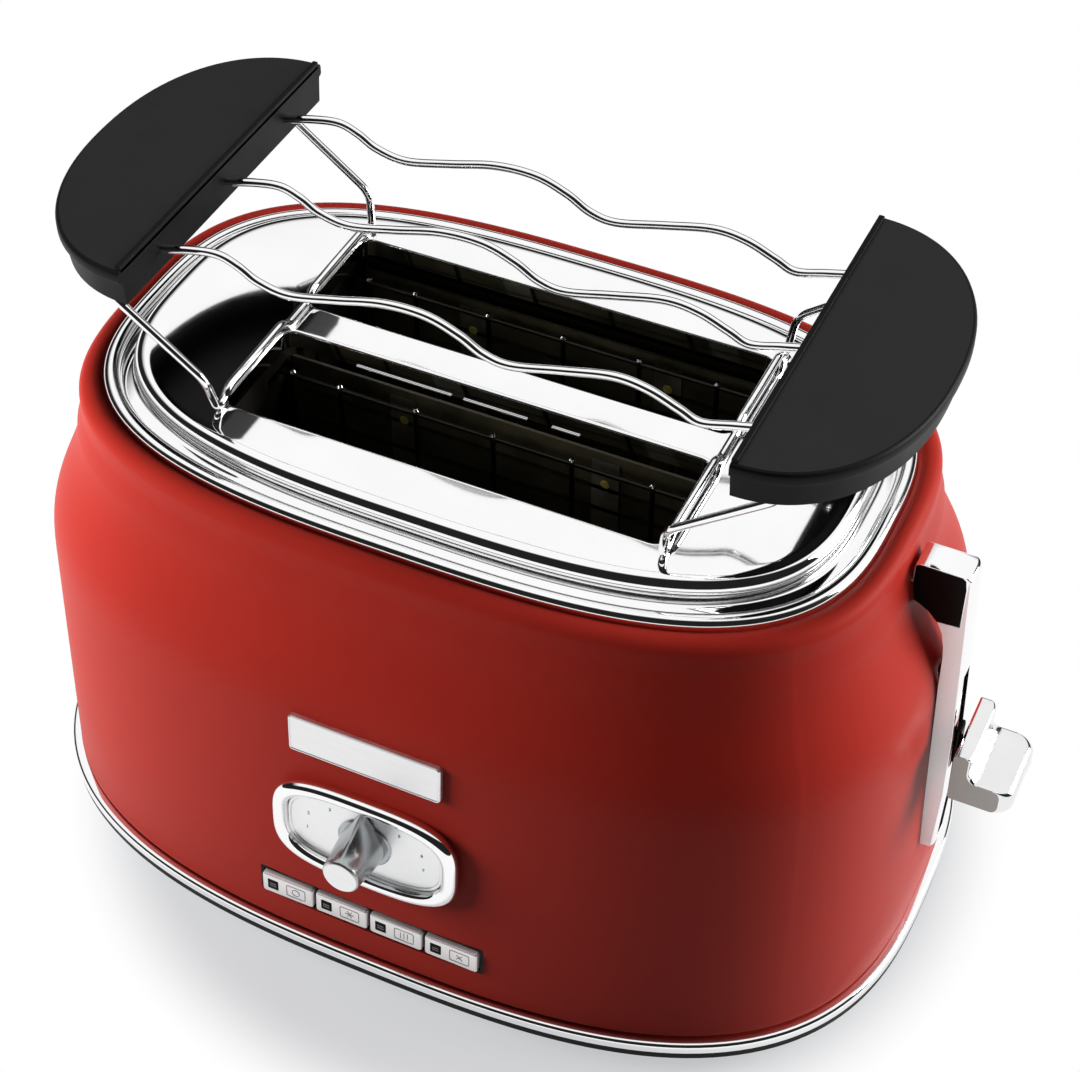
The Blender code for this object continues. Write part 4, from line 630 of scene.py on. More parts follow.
def rounded_box(half_u, half_v, corner, centre=(0, 0), steps=6):
    points = []
    for quarter, (side_u, side_v) in enumerate(((1, 1), (-1, 1), (-1, -1), (1, -1))):
        for step in range(steps + 1):
            angle = math.pi / 2 * (quarter + step / steps)
            u = side_u * (half_u - corner) + corner * math.cos(angle)
            v = side_v * (half_v - corner) + corner * math.sin(angle)
            points.append((centre[0] + u, centre[1] + v))
    return points


def oval(half_u, half_v, power, sides, centre=(0, 0)):
    points = []
    for i in range(sides):
        angle = math.tau * i / sides
        c, s = math.cos(angle), math.sin(angle)
        reach = (abs(c) ** power + abs(s) ** power) ** (-1 / power)
        points.append((centre[0] + half_u * reach * c, centre[1] + half_v * reach * s))
    return points


def circle(radius, centre=(0, 0), sides=32):
    return oval(radius, radius, 2, sides, centre)


def turned(profile, centre=(0, 0), closed=False, sides=48):
    rings = [[(u, v, height) for u, v in circle(radius, centre, sides)] for radius, height in profile]
    return loft(rings, closed)


def stepped(line, outline):
    """Rings for the insets and heights of a line, from a function that gives the outline at an inset."""
    return [[(u, v, height) for u, v in outline(inset)] for inset, height in line]


def body_ring(offset, z, sides=PLAN_SIDES):
    """The body's outline at a height, wider and rounder from the shoulder down to the foot."""
    down = min((SHOULDER_Z - z) / (SHOULDER_Z - SHELL_BOTTOM), 1)
    if abs(down) < SHOULDER_EASE:
        down = (down + SHOULDER_EASE) ** 2 / (4 * SHOULDER_EASE)
    down = max(down, 0)
    power = PLAN_POWER + (FOOT_POWER - PLAN_POWER) * down
    outline = oval(RIM_X + offset, RIM_Y + offset + FRONT_BULGE * down, power, sides)
    return [(x, y, z) for x, y in outline]


def arc(centre, radius_u, radius_v, start, end, steps):
    points = []
    for i in range(steps + 1):
        angle = math.radians(start + (end - start) * i / steps)
        points.append((centre[0] + radius_u * math.cos(angle), centre[1] + radius_v * math.sin(angle)))
    return points


def wires(name, runs, radius, detail):
    """A curve of round wires, each along its own line of points."""
    curve = bpy.data.curves.new(name, "CURVE")
    curve.dimensions = "3D"
    curve.bevel_depth = radius
    curve.bevel_resolution = detail
    curve.use_fill_caps = True
    for points in runs:
        spline = curve.splines.new("POLY")
        spline.points.add(len(points) - 1)
        for target, point in zip(spline.points, points):
            target.co = (*point, 1)
        spline.use_smooth = True
    return curve


def wire(name, runs, radius, body, finish, replaced=(), detail=5):
    return keep(name, wires(name, runs, radius, detail), body, finish, replaced)


def bent(corners, radius, steps=8):
    """A line through corners that are rounded off."""
    corners = [Vector(corner) for corner in corners]
    path = [corners[0]]
    for before, corner, after in zip(corners, corners[1:], corners[2:]):
        reach = min(radius, (before - corner).length / 2, (after - corner).length / 2)
        start = corner + (before - corner).normalized() * reach
        end = corner + (after - corner).normalized() * reach
        for i in range(steps + 1):
            t = i / steps
            path.append(start * (1 - t) ** 2 + corner * (2 * t * (1 - t)) + end * t**2)
    path.append(corners[-1])
    return path


def smoothed(places, steps=8):
    """A smooth line through places given one by one."""
    spots = [Vector(place) for place in places]
    spots = [spots[0] * 2 - spots[1]] + spots + [spots[-1] * 2 - spots[-2]]
    line = []
    for before, start, end, after in zip(spots, spots[1:], spots[2:], spots[3:]):
        for i in range(steps):
            t = i / steps
            bend = start * 2 + (end - before) * t + (before * 2 - start * 5 + end * 4 - after) * t**2
            bend += (start * 3 - before - end * 3 + after) * t**3
            line.append(bend / 2)
    line.append(spots[-2])
    return line


def rounded_ends(half, radius, steps=8):
    """Places along a piece with rounded ends, each with how far its side has fallen in there."""
    angles = [math.pi / 2 * i / steps for i in range(steps + 1)]
    falls = [(radius * math.sin(angle), radius * (1 - math.cos(angle))) for angle in angles]
    low = [(radius - half - rise, fall) for rise, fall in falls[::-1]]
    return low + [(half - radius + rise, fall) for rise, fall in falls]


def worked_out(obj):
    """The object's mesh with its modifiers worked out."""
    bpy.context.view_layer.update()
    graph = bpy.context.evaluated_depsgraph_get()
    return bpy.data.meshes.new_from_object(obj.evaluated_get(graph))


def apply_modifiers(obj):
    mesh = worked_out(obj)
    obj.modifiers.clear()
    obj.data = mesh


def cut(obj, bm, turn=None):
    """Cut a hole in the shape of a bmesh."""
    cutter = bpy.data.objects.new("cutter", settled(bm, "cutter", turn))
    bpy.context.scene.collection.objects.link(cutter)
    cutter.location = ORIGIN
    made = obj.modifiers.new("hole", "BOOLEAN")
    made.operation = "DIFFERENCE"
    made.solver = "EXACT"
    made.object = cutter
    apply_modifiers(obj)
    bpy.data.objects.remove(cutter, do_unlink=True)


def arm_slot(near, far):
    """The block that cuts the lever arm's slot, between two distances from the middle."""
    return box((near, -ARM_SLOT_HALF, ARM_SLOT_Z[0]), (far, ARM_SLOT_HALF, ARM_SLOT_Z[1]))


def wall(side):
    """The frame of the front wall (side -1) or the back wall (side 1): right, up the wall and out."""
    along = Vector((-side, 0, 0))
    up = Vector((0, -side * math.sin(WALL_TILT), math.cos(WALL_TILT)))
    turn = Matrix((along, up, along.cross(up))).transposed().to_4x4()
    return Matrix.Translation((0, side * WALL_FOOT_Y, SHELL_BOTTOM)) @ turn


FRONT = wall(-1)
BACK = wall(1)


# Casing


def plain_flare(z):
    if z <= SHOULDER_Z:
        share = (z - SHELL_BOTTOM) / (SHOULDER_Z - SHELL_BOTTOM)
        return FOOT_FLARE + share * (SHOULDER_FLARE - FOOT_FLARE)
    share = min((z - SHOULDER_Z) / (NECK_Z - SHOULDER_Z), 1)
    ease = share * share * (3 - 2 * share)
    return SHOULDER_FLARE + ease * (NECK_FLARE - SHOULDER_FLARE)


def shell_flare(z):
    """The flare averaged over a stretch of the height, so that no bend in it begins at once."""
    steps = range(-BLEND_STEPS, BLEND_STEPS + 1)
    weights = [1 - abs(i) / (BLEND_STEPS + 1) for i in steps]
    reaches = [plain_flare(z + SHOULDER_BLEND * i / BLEND_STEPS) for i in steps]
    return sum(w * reach for w, reach in zip(weights, reaches)) / sum(weights)


def shell_profile():
    """The shell's section as flare and height: up the outside, over the lip and down the inside."""
    start = SHELL_BOTTOM + SHELL_EDGE
    foot = arc((FOOT_FLARE - SHELL_EDGE, start), SHELL_EDGE, SHELL_EDGE, -90, 0, 6)
    heights = [start + (NECK_Z - start) * i / SHELL_STEPS for i in range(1, SHELL_STEPS + 1)]
    outer = [(shell_flare(z), z) for z in heights]
    outer += [COLLAR_BEND, (COLLAR_FLARE, COLLAR_Z)]
    outer += arc((COLLAR_FLARE - LIP_RADIUS, LIP_TOP - LIP_RADIUS), LIP_RADIUS, LIP_RADIUS, 0, 150, 12)
    inner = [(flare - SHELL_WALL, z - LIP_FOLD_DROP) for flare, z in outer[-1 - LIP_FOLD_STEPS :: -1]]
    inner[-1] = (inner[-1][0], SHELL_BOTTOM)
    return foot + outer + inner


def make_shell():
    bm = loft([body_ring(flare, z) for flare, z in shell_profile()], closed=True)
    shell = solid("shell_skin", bm, "toaster", LACQUER, ["body_shell"], sharp=50)
    smooth = shell.copy()
    smooth.data = shell.data.copy()
    bpy.context.scene.collection.objects.link(smooth)
    cut(shell, arm_slot(*SHELL_SLOT_X))
    window = rounded_box(*WINDOW_HALF, WINDOW_CORNER, (0, BUTTON_UP))
    cut(shell, prism(window, -CUT_IN, WINDOW_CUT_OUT), FRONT)
    cut(shell, prism(circle(GLAND_HOLE, (0, GLAND_UP)), -CUT_IN, GLAND_CUT_OUT), BACK)

    # The cuts leave flat shading round them, so the uncut shell's normals come back
    made = shell.modifiers.new("smooth normals", "DATA_TRANSFER")
    made.object = smooth
    made.use_loop_data = True
    made.data_types_loops = {"CUSTOM_NORMAL"}
    made.loop_mapping = "POLYINTERP_NEAREST"
    apply_modifiers(shell)
    bpy.data.objects.remove(smooth, do_unlink=True)


def make_rim():
    half = BEAD_WIDTH / 2
    inside = RIM_OUT - BEAD_WIDTH
    profile = [(RIM_OUT, RIM_FOOT_Z)]
    profile += arc((RIM_OUT - half, BEAD_Z), half, BEAD_RISE, 0, 180, 36)
    profile += [(inside, RIM_STEP_Z), (RIM_IN, RIM_STEP_Z), (RIM_IN, RIM_FOOT_Z)]
    rings = [body_ring(offset, z, FINE_SIDES) for offset, z in profile]
    solid("rim_trim", loft(rings, closed=True), "toaster", RIM_CHROME, ["top_rim_ring"])


def plate_profile():
    """The plate's section as offset and height, from its edge in the groove up to the flat top."""
    edge = RIM_OUT - BEAD_WIDTH - PLATE_GAP
    rise = edge - GROOVE_WIDTH
    flat = rise - PLATE_RISE_WIDTH
    profile = [(edge, PLATE_FOOT_Z), (edge, GROOVE_Z - PLATE_EDGE), (edge - PLATE_EDGE, GROOVE_Z)]
    profile.append((rise + GROOVE_BEND, GROOVE_Z))
    for i in range(PLATE_RISE_STEPS + 1):
        angle = math.pi / 2 * i / PLATE_RISE_STEPS
        run = PLATE_RISE_WIDTH * math.cos(angle) ** PLATE_RISE_POWER
        lift = (PLATE_RISE - PLATE_RISE_FOOT) * math.sin(angle) ** PLATE_RISE_POWER
        profile.append((flat + run, GROOVE_Z + PLATE_RISE_FOOT + lift))
    return profile


def slot_rings(side):
    """The rings of a toast slot's lip, from the flat top over the fold and down to the hem."""
    levels = [(SLOT_FOLD + SLOT_MARGIN, PLATE_TOP)]
    levels += arc((SLOT_FOLD, PLATE_TOP - SLOT_FOLD), SLOT_FOLD, SLOT_FOLD, 90, 180, 6)
    levels += [(0, SLOT_LIP_BOTTOM), (LIP_HEM_WIDTH, SLOT_LIP_BOTTOM)]
    levels.append((LIP_HEM_WIDTH, SLOT_LIP_BOTTOM + LIP_HEM_RISE))
    middle = (0, side * (SLOT_IN + SLOT_OUT) / 2)
    half = (SLOT_OUT - SLOT_IN) / 2
    rings = []
    for grow, z in levels:
        outline = rounded_box(SLOT_HALF + grow, half + grow, SLOT_CORNER + grow, middle)
        rings.append([(x, y, z) for x, y in outline])
    return rings


def make_plate():
    bm = loft([body_ring(offset, z, FINE_SIDES) for offset, z in plate_profile()], caps=False)
    bm.edges.ensure_lookup_table()
    edges = [e for e in bm.edges if e.is_boundary and abs(e.verts[0].co.z - PLATE_TOP) < LEVEL_ERROR]
    for side in (-1, 1):
        loops = [[bm.verts.new(point) for point in ring] for ring in slot_rings(side)]
        for loop, after in zip(loops, loops[1:]):
            stitch(bm, loop, after)
        top = loops[0]
        edges += [bm.edges.get((top[j - 1], top[j])) for j in range(len(top))]
    bmesh.ops.triangle_fill(bm, use_beauty=True, use_dissolve=False, edges=edges)
    solid("plate_skin", bm, "toaster", CHROME, ["top_plate"], sharp=50)


def make_base():
    outer = FOOT_FLARE + BASE_BULGE
    inner = outer - BASE_WIDTH
    profile = arc((outer - BASE_ROUND, BASE_TOP - BASE_ROUND), BASE_ROUND, BASE_ROUND, 0, 90, 16)
    profile += [(inner, BASE_TOP), (inner, BASE_Z)]
    profile += [(outer - BASE_CHAMFER, BASE_Z), (outer, BASE_Z + BASE_CHAMFER)]
    rings = [body_ring(offset, z) for offset, z in profile]
    solid("base_trim", loft(rings, closed=True), "toaster", CHROME, ["base_ring"])
    rings = [body_ring(outer - inset, z) for inset, z in EDGE_LINE]
    solid("base_edge", loft(rings, closed=True), "toaster", BLACK)
    for i in range(4):
        name = f"foot_{i + 1}"
        low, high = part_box(name)
        centre = ((low.x + high.x) / 2 - ORIGIN.x, (low.y + high.y) / 2 - ORIGIN.y)
        pad = turned(FOOT_LINE, centre, closed=True)
        solid(f"foot_pad_{i + 1}", pad, "toaster", RUBBER, [name], sharp=30)


# Front panel


def dial_outline(inset):
    half_u, half_v = BEZEL_HALF
    return oval(half_u - inset, half_v - inset, BEZEL_POWER, DIAL_SIDES, (0, DIAL_UP))


def make_dial():
    bead = arc((0, BEZEL_ROUND_Z), BEZEL_ROUND, BEZEL_ROUND, 0, 150, 18)
    line = [*BEZEL_FOOT, *((BEZEL_ROUND - u, v) for u, v in bead), *BEZEL_INSIDE]
    bezel = loft(stepped(line, dial_outline), closed=True)
    solid("bezel_trim", bezel, "toaster", CHROME, ["dial_bezel"], FRONT)
    face = loft(stepped(FACE_LINE, dial_outline))
    solid("face_plate", face, "toaster", DIAL, ["dial_face"], FRONT)
    track = loft(stepped(TRACK_LINE, dial_outline), closed=True)
    solid("face_line", track, "toaster", SATIN, (), FRONT)


def make_dial_numbers():
    for i in range(DIGITS):
        name = f"dial_number_{i + 1}"
        text = bpy.data.curves.new(name, "FONT")
        text.body = str(i + 1)
        text.size = DIGIT_SIZE
        text.extrude = DIGIT_DEPTH
        text.align_x = "CENTER"
        text.align_y = "CENTER"
        number = keep(name, text, "toaster", PALE_PRINT_AND_GLINT)
        angle = math.radians(DIGIT_START + DIGIT_STEP * i)
        place = Vector((math.sin(angle) * DIGIT_HALF[0], DIAL_UP + math.cos(angle) * DIGIT_HALF[1], DIGIT_Z))
        number.matrix_world = Matrix.Translation(ORIGIN) @ FRONT @ Matrix.Translation(place)


def dial_section(share, height, inset=0.0):
    """A round with a pointer at the dial's face that turns into a plain round at the knob's tip."""
    radius, tip = (start + (end - start) * share - inset for start, end in (DIAL_ROUND, DIAL_POINTER))
    half_angle = math.acos(min(radius / tip, 1))
    blunt = tip - POINTER_BLUNT * (1 - share)
    points = []
    for i in range(DIAL_SIDES):
        angle = math.tau * i / DIAL_SIDES
        off = abs(angle - math.pi / 2)
        reach = radius / math.cos(half_angle - off) if off < half_angle else radius
        reach = min(reach, blunt / math.cos(min(off, POINTER_WIDEST)))
        points.append((reach * math.cos(angle), DIAL_UP + reach * math.sin(angle), height))
    return points


def make_dial_knob():
    start, end = DIAL_TAPER
    shares = [i / DIAL_TAPER_STEPS for i in range(DIAL_TAPER_STEPS + 1)]
    rings = [dial_section(0, DIAL_KNOB_FOOT)]
    rings += [dial_section(share, start + (end - start) * share) for share in shares]
    rings += [dial_section(1, height, inset) for height, inset in DIAL_KNOB_END]
    knob = loft(rings)
    solid("dial_knob_skin", knob, "browning_dial", GREY_CHROME, ["dial_knob"], FRONT, sharp=22)
    for name, line, finish in (("dial_cap", CAP_LINE, SATIN), ("dial_foot", DIAL_FOOT_LINE, GREY_CHROME)):
        piece = turned(line, (0, DIAL_UP), sides=64)
        solid(name, piece, "browning_dial", finish, (), FRONT, sharp=22)


def badge_outline(inset):
    half_u, half_v = BADGE_HALF
    return rounded_box(half_u - inset, half_v - inset, BADGE_CORNER - inset, (0, BADGE_UP))


def make_badge():
    badge = loft(stepped(BADGE_LINE, badge_outline))
    solid("badge_skin", badge, "toaster", SATIN, ["badge_plate"], FRONT, sharp=25)


def icon_frame(centre):
    """A thin raised frame round an icon."""
    low, high = ICON_Z
    half_u, half_v = ICON_HALF
    outer = rounded_box(half_u, half_v, ICON_CORNER, centre, 3)
    inner = rounded_box(half_u - ICON_WIDTH, half_v - ICON_WIDTH, ICON_CORNER - ICON_WIDTH, centre, 3)
    shapes = ((outer, low), (outer, high), (inner, high), (inner, low))
    return loft([[(u, v, z) for u, v in shape] for shape, z in shapes], closed=True)


def icon_bar(centre, length, angle, shift=0.0):
    """A thin raised bar at an angle in degrees, shifted to the right of a centre."""
    c, s = math.cos(math.radians(angle)), math.sin(math.radians(angle))
    half = ICON_WIDTH / 2
    corners = []
    for a, b in ((-length, -half), (length, -half), (length, half), (-length, half)):
        corners.append((centre[0] + shift + a * c - b * s, centre[1] + a * s + b * c))
    return prism(corners, *ICON_Z)


def icon_parts(kind, centre):
    """A generic mark: a ring, a star, three bars or a cross."""
    if kind == 0:
        low, high = ICON_Z
        inner = ICON_RADIUS - ICON_WIDTH
        line = ((ICON_RADIUS, low), (ICON_RADIUS, high), (inner, high), (inner, low))
        return [turned(line, centre, closed=True, sides=20)]
    if kind == 1:
        return [icon_bar(centre, ICON_STAR, angle) for angle in (0, 60, 120)]
    if kind == 2:
        return [icon_bar(centre, ICON_BARS, 90, shift) for shift in ICON_BAR_SHIFTS]
    return [icon_bar(centre, ICON_CROSS, angle) for angle in (45, 135)]


def button_block(centre):
    def outline(inset):
        half_u, half_v = BUTTON_HALF
        return rounded_box(half_u - inset, half_v - inset, BUTTON_CORNER, centre, 5)

    return loft(stepped(BUTTON_LINE, outline))


def make_buttons():
    for i in range(BUTTON_COUNT):
        u = BUTTON_PITCH * (i - (BUTTON_COUNT - 1) / 2)
        body = f"button_{i + 1}"
        skin = button_block((u, BUTTON_UP))
        solid(f"button_skin_{i + 1}", skin, body, IVORY, [body], FRONT, sharp=50)
        lamp = prism(rounded_box(*LAMP_HALF, LAMP_CORNER, (u + LAMP_SHIFT, BUTTON_UP), 3), *LAMP_Z)
        solid(f"button_lamp_{i + 1}", lamp, body, GLOSS_BLACK, (), FRONT, bevel=LAMP_BEVEL)
        # Two pale bars on each lamp are painted highlights
        glints = []
        for v in GLINT_UPS:
            outline = rounded_box(*GLINT_HALF, GLINT_CORNER, (u + LAMP_SHIFT, BUTTON_UP + v), 2)
            glints.append(prism(outline, *GLINT_Z))
        solid(f"button_glint_{i + 1}", merge(glints), body, PALE_PRINT_AND_GLINT, (), FRONT)
        centre = (u + ICON_SHIFT, BUTTON_UP)
        icon = merge([icon_frame(centre), *icon_parts(i, centre)])
        solid(f"button_icon_{i + 1}", icon, body, PALE_PRINT_AND_GLINT, (), FRONT)


# Lever


def make_lever_bar():
    sections = []
    for y, fall in rounded_ends(BAR_HALF, BAR_ROUND):
        outer = [(x - fall * BAR_FALL, y, z) for x, z in BAR_OUTER]
        sections.append(outer + [(x, y, z) for x, z in BAR_INNER])
    bar = solid("bar_trim", loft(sections), "toaster", CHROME, ["lever_bar"], sharp=BAR_SHARP)
    for name, side in SIDES:
        sunk = side * (BAR_HALF - SIDE_SUNK)
        # A gloss black piece on each side of the top block stands for a dark reflection: painted reflection
        reflection_piece = prism(DARK_REFLECTION_LINE, sunk, side * (BAR_HALF + DARK_REFLECTION_PROUD), 1)
        solid(f"bar_painted_reflection_{name}", reflection_piece, "toaster", GLOSS_BLACK)
        plate = prism(BAR_SIDE_LINE, sunk, side * (BAR_HALF + BAR_SIDE_PROUD), 1)
        solid(f"bar_side_{name}", plate, "toaster", PALE_SATIN)
    cut(bar, arm_slot(*BAR_SLOT_X))
    soften(bar, BAR_BEVEL, 3, BAR_SHARP)


def make_lever_arm():
    arm = merge([box(low, high) for low, high in ARM_BLOCKS])
    solid("arm_skin", arm, "carriage", GLOSS_BLACK, ["lever_arm"], bevel=ARM_BEVEL)


def make_lever_knob():
    line = []
    for centre, radius, start, end, steps in KNOB_ARCS:
        line += arc(centre, radius, radius, start, end, steps)
    line += KNOB_CORNER
    sections = []
    for y, fall in rounded_ends(KNOB_HALF, KNOB_ROUND):
        shrink = 1 - fall / KNOB_LENGTH
        sections.append([(KNOB_X + x * shrink, y, KNOB_Z + z) for x, z in line])
    outline = [(x, z) for x, y, z in sections[0]]
    # A warm grey plate on each side of the knob is painted shade on its side faces
    for name, side in SIDES:
        plate = prism(outline, side * (KNOB_HALF - SIDE_SUNK), side * (KNOB_HALF + KNOB_SHADE_PROUD), 1)
        solid(f"knob_painted_shade_{name}", plate, "carriage", KNOB_SHADE_GREY)
    knob = loft(sections)
    replaced = ["lever_knob"]
    solid("knob_skin", knob, "carriage", SOFT_CHROME, replaced, bevel=KNOB_BEVEL, steps=6, sharp=40)


# Bun rack


def handle_ring(side, inset, straight, z):
    """A handle's D outline, whose straight side stands out from the handle's edge by a length."""
    outline = []
    for i in range(HANDLE_STEPS + 1):
        angle = -math.pi / 2 + math.pi * i / HANDLE_STEPS
        c, s = abs(math.cos(angle)), math.sin(angle)
        reach = (c**HANDLE_POWER + abs(s) ** HANDLE_POWER) ** (-1 / HANDLE_POWER)
        x = HANDLE_X + max((HANDLE_DEPTH - inset) * reach * c, straight)
        outline.append((RACK_SHIFT + side * x, (HANDLE_HALF - inset) * reach * s, z))
    return outline


def make_handles():
    for name, side in (("left", -1), ("right", 1)):
        skirt = loft([handle_ring(side, *level) for level in HANDLE_LEVELS])
        replaced = [f"rack_handle_{name}"]
        solid(f"handle_skin_{name}", skirt, "bun_rack", BLACK, replaced, sharp=40)
        xs = sorted(RACK_SHIFT + side * (HANDLE_X + x) for x in (0, RIDGE_WIDTH))
        half = HANDLE_HALF - RIDGE_SHORT
        ridge = box((xs[0], -half, RIDGE_Z[0]), (xs[1], half, RIDGE_Z[1]))
        solid(f"handle_ridge_{name}", ridge, "bun_rack", BLACK, bevel=RIDGE_BEVEL, steps=3)
        face = loft([handle_ring(side, *level) for level in HANDLE_FACE])
        solid(f"handle_top_{name}", face, "bun_rack", HANDLE)


def make_rack():
    for name, y in (("front", -WIRE_Y), ("middle", 0), ("back", WIRE_Y)):
        points = [(x, y, z) for x, z in smoothed(WAVE)]
        wire(f"wire_{name}", [points], WIRE_RADIUS, "bun_rack", CHROME, [f"rack_wire_{name}"])
    for name, side in (("left", -1), ("right", 1)):
        half = [(RACK_SHIFT + side * x, y, z) for x, y, z in LEG_LINE]
        corners = [(x, -y, z) for x, y, z in half] + half[::-1]
        path = bent(corners, LEG_BEND)
        wire(f"leg_{name}", [path], WIRE_RADIUS, "bun_rack", CHROME, [f"rack_leg_{name}"])


# Heat chamber


def ribbon(row, at, face):
    """One length of heater ribbon, tilted up or down by turns."""
    z = RIBBON_FOOT_Z + RIBBON_PITCH * row
    tilt = RIBBON_TILT * (-1) ** row
    ends = ((-RIBBON_HALF, z - tilt), (RIBBON_HALF, z + tilt))
    outline = [*ends, *((x, level + RIBBON_WIDTH) for x, level in ends[::-1])]
    return prism(outline, at, at + face * HEATER_TRIM, 1)


def clip_strip(x, at, face):
    near, far = sorted((at, at + face * HEATER_TRIM))
    return box((x - STRIP_HALF, near, STRIP_Z[0]), (x + STRIP_HALF, far, STRIP_Z[1]))


def rivet(x, z, at, face):
    head = turned(RIVET_LINE, sides=16)
    turn = Matrix.Translation((x, at + face * HEATER_TRIM, z)) @ Matrix.Rotation(-face * math.pi / 2, 4, "X")
    bmesh.ops.transform(head, matrix=turn, verts=head.verts)
    return head


def make_heaters():
    for name, y, faces in HEATERS:
        sides = [(y + face * HEATER_FACE, face) for face in faces]
        ribbons = [ribbon(row, *side) for side in sides for row in range(RIBBON_ROWS)]
        strips = [clip_strip(x, *side) for side in sides for x in STRIP_XS]
        rivets = [rivet(x, z, *side) for side in sides for x in STRIP_XS for z in RIVET_ZS]
        solid(f"ribbons_{name}", merge(ribbons), "toaster", RIBBON)
        solid(f"clip_strips_{name}", merge(strips), "toaster", STRIP)
        solid(f"rivets_{name}", merge(rivets), "toaster", BRASS)


def make_spring():
    """The lift spring's coil, drawn still at the length of the CAD spring; the real one closes up as the
    carriage rises.
    """
    low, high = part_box("lift_spring")
    middle = (low + high) / 2
    reach = (high.x - low.x) / 2 - SPRING_WIRE
    count = SPRING_TURNS * SPRING_STEPS
    points = []
    for i in range(count + 1):
        angle = math.tau * i / SPRING_STEPS
        height = low.z + SPRING_WIRE + (high.z - low.z - 2 * SPRING_WIRE) * i / count
        points.append((middle.x + reach * math.cos(angle), middle.y + reach * math.sin(angle), height))
    draft = bpy.data.objects.new("spring_draft", wires("spring_coil", [points], SPRING_WIRE, 3))
    bpy.context.scene.collection.objects.link(draft)
    mesh = worked_out(draft)
    bpy.data.objects.remove(draft, do_unlink=True)
    mesh.shade_smooth()
    mesh.materials.clear()
    mesh.materials.append(STEEL)
    coil = bpy.data.objects.new("spring_coil", mesh)
    bpy.context.scene.collection.objects.link(coil)
    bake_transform(coil)
    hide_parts("lift_spring")


def make_hems():
    """The folded lower edge of the front slot's back lip, in lengths with gaps between them."""
    y = -SLOT_IN - HEM_BACK
    z = SLOT_LIP_BOTTOM + HEM_UP
    for i, (start, end) in enumerate(HEM_SPANS):
        run = [(start, y, z), (end, y, z)]
        wire(f"hem_{i + 1}", [run], HEM_RADIUS, "toaster", SOFT_CHROME)


def make_cages():
    for name, y in CAGES:
        body = f"guide_cage_{name}"
        runs = [[(-CAGE_HALF, y, z), (CAGE_HALF, y, z)] for z in CAGE_RUN_ZS]
        runs += [[(x, y, z) for z in CAGE_UPRIGHT_ZS] for x in CAGE_XS]
        wire(f"cage_{name}", runs, CAGE_WIRE, body, CAGE_STEEL, [body], detail=3)
        tips = [turned(CAGE_TIP_LINE, (x, y), sides=12) for x in CAGE_XS]
        solid(f"cage_tips_{name}", merge(tips), body, CHROME)


def finish_nodes():
    for finish, names in NODE_FINISHES:
        for name in names.split():
            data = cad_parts[name].data
            data.materials.clear()
            data.materials.append(finish)


# Studio


def shade(tree, kind, colour, strength=1.0):
    """An emission or a background of one colour."""
    return node(tree, kind, {"Color": colour, "Strength": strength}).outputs[0]


def mix(tree, share, first, second):
    return node(tree, "ShaderNodeMixShader", {0: share, 1: first, 2: second}).outputs[0]


def make_floor():
    """A pale sheet with a painted grey shadow pool round the body, which keeps the real shadow inside it and
    fades to white further off, and that throws little light back on its sides.
    """
    made = bpy.data.materials.new("floor")
    made.use_nodes = True
    tree = made.node_tree
    shader = tree.nodes["Principled BSDF"]
    shader.inputs["Base Color"].default_value = FLOOR_COLOUR
    shader.inputs["Roughness"].default_value = FLOOR_ROUGHNESS
    # Painted shadow pool near the body: a grey glow mixed with the lit floor, which keeps the real shadow
    glow = shade(tree, "ShaderNodeEmission", SHADOW_POOL_GLOW)
    near = mix(tree, SHADOW_POOL_GLOW_SHARE, shader.outputs[0], glow)
    # Past an oval round the body the painted pool fades to white
    place = node(tree, "ShaderNodeTexCoord").outputs["Object"]
    inputs = {"Vector": place, "Location": SHADOW_POOL_SHIFT, "Scale": SHADOW_POOL_SCALE}
    flat = node(tree, "ShaderNodeMapping", inputs).outputs[0]
    length = node(tree, "ShaderNodeVectorMath", {0: flat}, operation="LENGTH").outputs["Value"]
    inputs = {"Value": length, "From Min": SHADOW_POOL_START, "From Max": SHADOW_POOL_END, "To Min": 0.0, "To Max": 1.0}
    far = node(tree, "ShaderNodeMapRange", inputs, interpolation_type="SMOOTHSTEP").outputs[0]
    seen = mix(tree, far, near, shade(tree, "ShaderNodeEmission", WHITE))
    dull = node(tree, "ShaderNodeBsdfDiffuse", {"Color": FLOOR_DULL}).outputs[0]
    scattered = node(tree, "ShaderNodeLightPath").outputs["Diffuse Depth"]
    surface = tree.nodes["Material Output"].inputs["Surface"]
    tree.links.new(mix(tree, scattered, seen, dull), surface)
    mesh = bpy.data.meshes.new("floor")
    corners = [(x * FLOOR_HALF, y * FLOOR_HALF, 0) for x, y in ((-1, -1), (1, -1), (1, 1), (-1, 1))]
    mesh.from_pydata(corners, [], [(0, 1, 2, 3)])
    mesh.materials.append(made)
    floor = bpy.data.objects.new("floor", mesh)
    floor.location = ORIGIN
    bpy.context.scene.collection.objects.link(floor)


